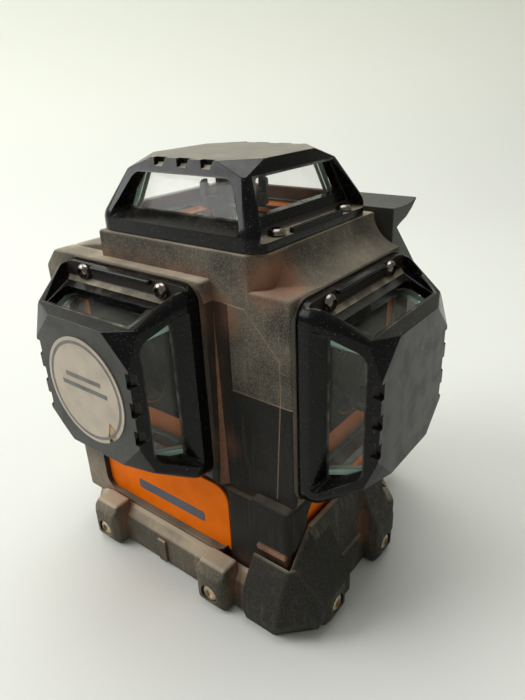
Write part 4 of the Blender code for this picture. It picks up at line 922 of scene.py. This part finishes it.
def smooth_area(bm, low_x, high_x, top):
    """Split the shell along the edges of an area of its front and leave that area smooth."""
    for point, normal in (((low_x, 0, 0), (1, 0, 0)), ((high_x, 0, 0), (1, 0, 0)), ((0, 0, top), (0, 0, 1))):
        geom = bm.verts[:] + bm.edges[:] + bm.faces[:]
        bmesh.ops.bisect_plane(bm, geom=geom, dist=1e-4, plane_co=point, plane_no=normal)
    for face in bm.faces:
        x, y, z = face.calc_center_median()
        if face.material_index == 0 and low_x < x < high_x and y < CORNER_Y + 2 and z < top:
            face.material_index = 1


smooth_area(SHELL, CREASE[0][0], RIGHT + 1, CREASE[0][1])
smooth_area(SHELL, STEP_X - 2.5, CREASE[0][0], PARTING[0][1])


def seat_lip(seat):
    """A thin raised frame round the foot of a cage."""
    bm = prism(rounded(BASE_U + 0.7, BASE_V + 0.7, 5.7), -1.2, 0.4)
    soften(bm, 0.15, 2)
    return moved(carve(bm, prism(rounded(BASE_U + 0.3, BASE_V + 0.3, 5.3), -3, 3)), seat)


lips = joined([seat_lip(SEATS["front"]), seat_lip(SEATS["side"])])
piece("body_armour", SHELL, [RUBBER, SMOOTH_RUBBER, LINE_DUST, DUSTY_CORNER], "rubber", "housing",
      "body_shell")
piece("turret_gaskets", lips, SMOOTH_RUBBER, "rubber", "housing")

# %% [markdown]
# ## Labels
#
# Two orange plates with rounded upper corners lie in shallow recesses. Each takes its size from its CAD
# node and is drawn out from an outline, so that its corners are true arcs. The front one carries one
# plain bar.


# %% Labels
def label_outline(low, high, foot, head, corner=6.0):
    outline = [(low, foot), (high, foot)] + arc((high - corner, head - corner), corner, 0, 90, 6)
    return outline + arc((low + corner, head - corner), corner, 90, 180, 6)


def label_plate(node, along):
    low, high = box_mm(node)
    across = 1 if along == "X" else 0
    outline = label_outline(low[across], high[across], low.z, high.z)
    first, last = (low.x, high.x) if along == "X" else (low.y, high.y)
    return soften(prism(outline, first, last, along), 0.15, 2)


for label, along in (("front_label", "Y"), ("side_label", "X")):
    piece(f"{label}_plate", label_plate(label, along), LABEL_ORANGE, "orange_label", "housing", label)
label_face = box_mm("front_label")[0].y
bar = soften(prism(rounded(17, 2.1, 1.0), label_face - 0.12, label_face + 0.05, "Y"), 0.05, 1)
piece("label_bar", shifted(bar, -12, 0, 25.4), INK, "orange_label", "housing")

# %% [markdown]
# The round paper sticker on the front turret has torn off at its lower right. The tear leaves a notch in
# the disc and a patch of bare, tan paper. The disc is a thin prism with the tear cut out of it. A plain
# ring and two plain bars lie on it as thin solids, because they need no image.

# %% Sticker
STICKER_R, STICKER_T = 17.5, 0.3
STICKER_FOOT = CAGE_H + 0.02
STICKER_FACE = STICKER_FOOT + STICKER_T
TEAR = [(9.5, -8.0), (11.5, -9.5), (12.2, -14), (13.4, -20), (8.2, -20), (7.9, -13)]
BARE_PATCH = [(8.6, -8.4), (11.0, -9.6), (11.9, -12.6), (10.2, -14.2), (8.6, -13.2), (8.0, -10.4)]


def ring(outer, inner, low, high):
    return turned([(inner, high), (outer, high), (outer, low), (inner, low), (inner, high)], 64)


disc = prism(arc((0, 0), STICKER_R, 0, 354, 59), STICKER_FOOT, STICKER_FACE)
disc = carve(disc, prism(TEAR, CAGE_H - 1, CAGE_H + 1))
patch = prism(BARE_PATCH, STICKER_FOOT, STICKER_FOOT + 0.12)
marks = [ring(16.4, 15.4, STICKER_FACE - 0.02, STICKER_FACE + 0.04)]
for half, v in ((8.2, 4.2), (10.6, 0.9)):
    marks.append(shifted(block((-half, -0.75, 0), (half, 0.75, 0.05)), 0, v, STICKER_FACE))
piece("sticker_paper", moved(joined([disc, painted(patch, 1)]), SEATS["front"]), [CREAM_PAPER, TORN_PAPER],
      "cream_paper", "housing", "inspection_sticker")
piece("sticker_marks", moved(joined(marks), SEATS["front"]), SOFT_GREY, "cream_paper", "housing")

# %% [markdown]
# ## Bumper
#
# The bumper is thick rubber: a skirt with sloping top, eight lugs with sunk screws and one heavy block at
# the exposed corner, with a wing that climbs from it to the side wall. Each is a block with planes sliced
# off, or a loft, and its edges are rounded well, as moulded rubber has no sharp edge. They are joined,
# then the nest for the shell and the foot opening are cut.

# %% Bumper blocks
SKIRT = (-67.0, 48.0, -39.0, 40.0)
SKIRT_TOP, SKIRT_SLOPE = 15.5, 4.2
LUG_HALF, LUG_OUT, LUG_TOP, LUG_SCREW_Z = 6.85, 5.8, 17.8, 6.8
LUGS = [(0, x, SKIRT[2]) for x in (-38.5, 16.3)] + [(2, x, SKIRT[3]) for x in (-38.5, 16.3)]
LUGS += [(1, SKIRT[1], y) for y in (-22.5, 11.5)] + [(3, SKIRT[0], y) for y in (-6.0, 20.0)]
# Height, how far the heavy corner stands out in x and in y, and the cut of its upright edge
CORNER_ROWS = [(0, 9.6, 8.5, 10), (7.35, 12.4, 10.6, 10), (14, 12.8, 9.4, 10), (24.6, 3.1, 2.7, 1.5)]


def lug_matrix(quarter, x, y):
    return Matrix.Translation((x, y, 0)) @ Matrix.Rotation(quarter * math.pi / 2, 4, "Z")


def skirt_block():
    """The skirt with its four upright corners cut, one of them deeper, and its upper edges sloped."""
    left, right, front, rear = SKIRT
    bm = block((left, front, 0), (right, rear, SKIRT_TOP))
    start = SKIRT_TOP - SKIRT_SLOPE
    for x, y, cut in ((left, front, 18), (left, rear, 10), (right, front, 10), (right, rear, 10)):
        nx, ny = math.copysign(1, x), math.copysign(1, y)
        slice_off(bm, (x - nx * cut, y, 0), (nx, ny, 0))
        slice_off(bm, (x - nx * cut, y, start), (nx, ny, 1.4))
    for x, y, nx, ny in ((left, 0, -1, 0), (right, 0, 1, 0), (0, front, 0, -1), (0, rear, 0, 1)):
        slice_off(bm, (x, y, start), (nx, ny, 1))
    return soften(bm, 1.4, 3)


def lug_block():
    bm = block((-LUG_HALF, -LUG_OUT, 0), (LUG_HALF, 4, LUG_TOP))
    slice_off(bm, (0, -LUG_OUT, 13.2), (0, -4.5, 2.9))
    slice_off(bm, (0, -LUG_OUT, 3.2), (0, -3.4, -2.3))
    for s in (1, -1):
        slice_off(bm, (s * LUG_HALF, 0, 13.0), (s * 4.5, 0, 1.2))
        slice_off(bm, (s * LUG_HALF, 0, 3.0), (s * 4.5, 0, -1.6))
        slice_off(bm, (s * LUG_HALF, -LUG_OUT + 2.2, 0), (s * 1.0, -1.0, 0))
    return soften(bm, 1.1, 3)


def corner_block():
    low_x, high_y = 28.5, -14.5
    layers = []
    for height, out_x, out_y, cut in CORNER_ROWS:
        x, y = LOWER_RIGHT + out_x, LOWER_FRONT - out_y
        layers.append(([(low_x, y), (x - cut, y), (x, y + cut), (x, high_y), (LOWER_RIGHT, high_y),
                        (low_x, LOWER_FRONT)], height))
    return soften(loft(layers), 1.0, 3)


def corner_wing():
    """The slope that climbs from the heavy corner to the side wall."""
    bm = block((LOWER_RIGHT, -35, 6), (LOWER_RIGHT + 12.6, -14.3, 34.5))
    slice_off(bm, (LOWER_RIGHT + 12.6, 0, 14.5), (20, 0, 10.4))
    slice_off(bm, (0, -33.8, 24.5), (0, -1.05, 1))
    slice_off(bm, (43.4, -41.0, 14), (1, -1, 0.75))
    return soften(bm, 1.0, 3)


def side_layers(rows):
    """A solid that stands out from the lower right side; rows hold height, reach and y range."""
    layers = []
    for height, reach, low, high in rows:
        outer = LOWER_RIGHT + reach
        layers.append(([(LOWER_RIGHT, low), (outer, low), (outer, high), (LOWER_RIGHT, high)], height))
    return soften(loft(layers), 1.0, 3)


def side_wall():
    return side_layers([(2, 5.5, -24, 22), (26, 5.5, -24, 22), (35.5, 3.2, -24, 22)])


def side_buttress():
    return side_layers([(8, 12.5, 5.0, 18.0), (16.5, 12.5, 5.0, 18.0), (34.8, 3.5, 6.0, 17.0)])


def rail_blocks():
    """Low upright ribs on the skirt's long sides."""
    ribs = []
    for y, out in ((SKIRT[2], -1), (SKIRT[3], 1)):
        ribs.append(soften(block((-13.5, min(y, y + out), 1.5), (-9.5, max(y, y + out), 11.5)), 0.45, 2))
    return ribs


lug = lug_block()
lugs = [moved(lug.copy(), lug_matrix(*place)) for place in LUGS]
# The heavy corner and its wing take the darker finish, which is partly painted shade
heavy = [painted(bm, 2) for bm in (corner_block(), corner_wing())]
BUMPER = fused(skirt_block(), *heavy, side_wall(), side_buttress(), *lugs, *rail_blocks())
print("bumper blocks", len(BUMPER.faces), "faces")

# %% Bumper cuts and screws
SINK_R, SINK_FLOOR, LUG_BORE, LUG_HEAD = 3.5, -1.9, 1.8, 1.5
sink = rod(SINK_R, SINK_FLOOR, 4, 24)
bore = rod(LUG_BORE, SINK_FLOOR - 5, -LUG_HEAD, 16)
screw_places = [lug_matrix(*place) @ Matrix.Translation((0, -LUG_OUT, LUG_SCREW_Z))
                @ Matrix.Rotation(math.pi / 2, 4, "X") for place in LUGS]
sinks = joined([moved(tool.copy(), place) for place in screw_places for tool in (sink, bore)])
nest = block((LEFT - 0.3, FRONT - 0.3, FOOT_Z - 0.3), (LOWER_RIGHT + 1.8, REAR + 0.3, 45))
opening = block((-53, -25, -1), (34, 26, FOOT_Z))
BUMPER = carve(BUMPER, painted(sinks, 1), nest, opening)
piece("rubber_bumper", BUMPER, [BUMPER_RUBBER, SMOOTH_RUBBER, CORNER_RUBBER_AND_SHADE], "rubber", "housing",
      "base_bumper")
LUG_SCREW = button_screw(3.2, LUG_HEAD, 1.7, 5.0)
for k, place in enumerate(screw_places):
    set_in = place @ Matrix.Translation((0, 0, -LUG_HEAD))
    piece(f"lug_screw_{k + 1}", moved(LUG_SCREW.copy(), set_in), DULL_STEEL, "bright_steel", "housing")

# %% [markdown]
# ## Rear console
#
# The console is a darker moulding screwed to the back: an upturned lip on top that shades the keys, a
# sloping keypad and the battery bay. The photograph shows only its lip, so the rest is a plain design.

# %% Console
CONSOLE_X = (-38.0, 39.0)
CONSOLE_FRONT, CONSOLE_REAR = 33.3, 60.0
KEYPAD_ORIGIN = Vector((0.5, 48.4, 105.5))
SLOPE = math.atan2(23.0, CONSOLE_REAR - 36.8)
KEYPAD = (Matrix.Translation(KEYPAD_ORIGIN) @ Matrix.Rotation(-SLOPE, 4, "X")
          @ Matrix.Rotation(math.pi, 4, "Z"))
BAY = ((-29.5, 45.5, 22.5), (30.5, 62.0, 88.5))
PORT_Y, PORT_Z = 52.5, 65.0


def console_solid():
    lip_top = [(CONSOLE_FRONT, 123.9), (38.6, 123.45), (43.8, 123.3), (47.8, 123.75), (50.8, 124.7)]
    lip_under = [(50.4, 123.9), (47.65, 121.6), (43.45, 119.2), (38.6, 117.8), (36.8, 117)]
    back_wall = [(CONSOLE_REAR, 94), (CONSOLE_REAR, 19), (CONSOLE_FRONT, 19)]
    left, right = CONSOLE_X
    bm = prism(lip_top + lip_under + back_wall, left, right, "X")
    soften(bm, 0.9, 3, [e for e in bm.edges if e.calc_face_angle() > math.radians(35)])
    room = block((left + 3, 30, 22), (right - 3, 42.8, 94))
    pocket = moved(block((-28.3, -9.8, -4.2), (28.3, 9.8, 4.2)), KEYPAD)
    port = block((left - 3, PORT_Y - 3.75, PORT_Z - 6.75), (left + 5, PORT_Y + 3.75, PORT_Z + 6.75))
    cut, past = CONSOLE_REAR - 0.5, CONSOLE_REAR + 2
    ribs = joined([block((x, cut, 91.0), (x + 1.2, past, 93.2)) for x in range(-30, 31, 4)])
    return carve(bm, room, block(*BAY), pocket, port, ribs)


piece("console_case", console_solid(), DARK_PLASTIC, "dark_plastic", "housing", "rear_console")

# %% [markdown]
# The keys are domed rubber buttons in a grey panel. Their marks are plain signs: a ring, a level line, an
# upright line and three dots. Four small lamps sit above them. Each key moves alone, so its mark rides on it.

# %% Keypad and keys
KEY_R, KEY_PROUD, KEY_PITCH = 4.2, 1.2, 12.5
KEY_FOOT, KEY_FLANGE, KEY_FLANGE_R = -3.1, -1.9, 5.0
MARK_LOW, MARK_HIGH = KEY_PROUD - 0.3, KEY_PROUD + 0.06


def key_dome():
    crown = [(KEY_R * math.sin(a), KEY_PROUD - 0.7 + 0.7 * math.cos(a)) for a in (0.35, 0.75, 1.15, 1.57)]
    foot = [(KEY_R, KEY_FLANGE), (KEY_FLANGE_R, KEY_FLANGE), (KEY_FLANGE_R, KEY_FOOT), (0, KEY_FOOT)]
    return turned([(0, KEY_PROUD), *crown, *foot], 36)


def mark_bar(width, height):
    return soften(block((-width / 2, -height / 2, MARK_LOW), (width / 2, height / 2, MARK_HIGH)), 0.05, 1)


KEY_MARKS = {
    "power_key": [ring(2.0, 1.4, MARK_LOW, MARK_HIGH), shifted(mark_bar(0.6, 1.8), 0, 1.4, 0)],
    "level_line_key": [mark_bar(4.2, 0.8)],
    "upright_line_key": [mark_bar(0.8, 4.2)],
    "pulse_key": [shifted(mark_bar(0.9, 0.9), x, 0, 0) for x in (-1.6, 0, 1.6)],
}
panel = soften(moved(cad_copy("keypad_panel"), KEYPAD.inverted()), 0.3, 2)
piece("keypad_plate", moved(panel, KEYPAD), SOFT_GREY, "soft_grey", "housing", "keypad_panel")
for k, (name, signs) in enumerate(KEY_MARKS.items()):
    place = KEYPAD @ Matrix.Translation(((k - 1.5) * KEY_PITCH, 0, 0))
    piece(f"{name}_dome", moved(joined([key_dome()] + [painted(sign, 1) for sign in signs]), place),
          [SMOOTH_RUBBER, PALE_MARK], "rubber", name, name)
    lens = shifted(turned([(0, 0.35), (0.5, 0.28), (0.85, 0.0), (0.85, -0.6), (0, -0.6)], 16), 0, 7.2, 0)
    piece(f"status_lamp_{k + 1}", moved(lens, place), LAMP_GREEN, "soft_grey", "housing")

# %% [markdown]
# The battery slides out of the back. A sprung latch near its top frees it, and four shallow grip grooves
# run across it for the thumb. The latch is ribbed, so that a finger finds it.


# %% Battery and latch
def battery_solid():
    low, high = box_mm("battery_pack")
    latch_low, latch_high = box_mm("battery_latch")
    bm = soften(block(low, high), 1.2, 3)
    past = high.y + 2
    pocket = block(latch_low - Vector((0.3, 0.3, 3.6)), (latch_high.x + 0.3, past, latch_high.z + 0.3))
    grips = [soften(block((-20, high.y - 0.8, z), (21, past, z + 2.2)), 0.5, 2) for z in (30, 35, 40, 45)]
    return carve(bm, pocket, joined(grips))


def latch_solid():
    low, high = box_mm("battery_latch")
    bm = soften(block(low, high), 0.3, 2)
    cuts = [block((low.x + 1.5, high.y - 0.5, z), (high.x - 1.5, high.y + 1, z + 0.7))
            for z in (low.z + 1.3, low.z + 2.7, low.z + 4.1, low.z + 5.2)]
    return carve(bm, joined(cuts))


piece("battery_case", battery_solid(), DARK_PLASTIC, "dark_plastic", "battery", "battery_pack")
piece("latch_slider", latch_solid(), SOFT_GREY, "soft_grey", "latch", "battery_latch")

# %% [markdown]
# On the left are the rubber flap over the charging socket and the lock knob, which holds the pendulum
# still for carrying. The flap has a pull tab at its foot. The knob has a grip bar and a notched rim.


# %% Port flap and lock knob
KNOB_DENTS = 18


def flap_solid():
    low, high = box_mm("port_flap")
    bm = soften(block(low, high), 0.45, 2)
    pull = block((low.x - 0.7, low.y + 3, low.z + 0.6), (low.x + 0.5, high.y - 3, low.z + 2.2))
    return fused(bm, soften(pull, 0.35, 2))


def knob_solid():
    profile = [(0, 5.8), (7.4, 5.8), (8.6, 5.1), (9.3, 3.6), (9.5, 0.9), (9.1, 0.3), (0, 0.3)]
    dent = shifted(rod(0.7, -1, 3.4, 8), 9.9, 0, 0)
    turns = [Matrix.Rotation(k * math.tau / KNOB_DENTS, 4, "Z") for k in range(KNOB_DENTS)]
    bm = carve(turned(profile, 48), joined([moved(dent.copy(), turn) for turn in turns]))
    grip = soften(block((-8.5, -2.2, 3.0), (8.5, 2.2, 7.17)), 0.7, 3)
    return moved(fused(bm, grip), LOCK_AXIS)


piece("flap_cover", flap_solid(), RUBBER, "rubber", "flap", "port_flap")
piece("lock_dial", knob_solid(), SMOOTH_RUBBER, "rubber", "lock", "lock_knob")

# %% [markdown]
# ## What stays as CAD
#
# The inner pieces are right as they are: gimbal, bearings, barrels, board, bush and magnet. They only
# need their finish, which is looked up by the node's name or by the end of it.

# %% Finishes for the CAD nodes
CAD_FINISHES = {"base_plate": DARK_PLASTIC, "tripod_bush": BRASS, "battery_terminal": BRASS,
                "charge_socket": STEEL, "circuit_board": BOARD_GREEN, "damper_plate": COPPER,
                "damper_magnet": MAGNET, "lock_shaft": STEEL}
CAD_ENDINGS = {"_bearing": STEEL, "_barrel": ALUMINIUM, "_cone_mirror": MIRROR, "_chassis": ALUMINIUM,
               "_ring": ALUMINIUM, "_block": ALUMINIUM}
shown = [name for name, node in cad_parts.items() if not node.hide_render]
for name in shown:
    ending = [finish for end, finish in CAD_ENDINGS.items() if name.endswith(end)]
    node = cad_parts[name]
    node.data.materials.clear()
    node.data.materials.append(CAD_FINISHES.get(name) or ending[0])
print("CAD nodes that show:", len(shown))

# %% [markdown]
# ## Floor and light
#
# The floor is a pale sheet that curves up behind the object. The light is a bright room with a large
# window on the left, so the sheet is palest there and the soft shadow falls to the right.

# %% Floor sheet
BEND_Y, BEND_R, SHEET_HALF, SHEET_TOP = 420.0, 260.0, 2600.0, 1500.0
sweep = [(-SHEET_HALF, 0)] + arc((BEND_Y, BEND_R), BEND_R, -90, 0, 16) + [(BEND_Y + BEND_R, SHEET_TOP)]
sheet = bmesh.new()
line = [sheet.verts.new((-SHEET_HALF, y, z)) for y, z in sweep]
run = [sheet.edges.new(pair) for pair in zip(line, line[1:])]
drawn = bmesh.ops.extrude_edge_only(sheet, edges=run)
bmesh.ops.translate(sheet, vec=(2 * SHEET_HALF, 0, 0),
                    verts=[v for v in drawn["geom"] if isinstance(v, bmesh.types.BMVert)])
bmesh.ops.recalc_face_normals(sheet, faces=sheet.faces)
for face in sheet.faces:
    face.smooth = True
floor = as_object(moved(sheet, TO_FRAME @ Matrix.Rotation(AZIMUTH, 4, "Z")), "floor_sheet")
floor_finish = Finish("pale_sheet", Roughness=0.7, Specular_IOR_Level=0.2)
sheet_height = floor_finish.axes(floor_finish.place())[2]
wall_share = floor_finish.ramp(sheet_height, 0, 200 * MM)
floor_finish.feed(Base_Color=floor_finish.blend(wall_share, screen(225, 226, 221), screen(233, 235, 224)))
floor.data.materials.append(floor_finish.material)
print("floor sheet", len(floor.data.polygons), "faces")

# %% Lamps and world
world = bpy.data.worlds.new("room")
world.use_nodes = True
sky = world.node_tree.nodes["Background"]
sky.inputs["Color"].default_value = screen(238, 241, 232)
sky.inputs["Strength"].default_value = 0.32
bpy.context.scene.world = world


def lamp(name, place, aim, size, power):
    light = bpy.data.lights.new(name, "AREA")
    light.shape = "DISK"
    light.size = size
    light.energy = power
    made = bpy.data.objects.new(name, light)
    made.location = place
    made.rotation_euler = (Vector(aim) - Vector(place)).to_track_quat("-Z", "Y").to_euler()
    bpy.context.scene.collection.objects.link(made)


lamp("window", (-0.88, -0.68, 0.8), (0, 0.1, 0.1), 0.9, 11.4)
lamp("ceiling", (-0.15, 0.15, 1.1), (0, 0.1, 0.05), 0.9, 6.8)
print("lamps ready")
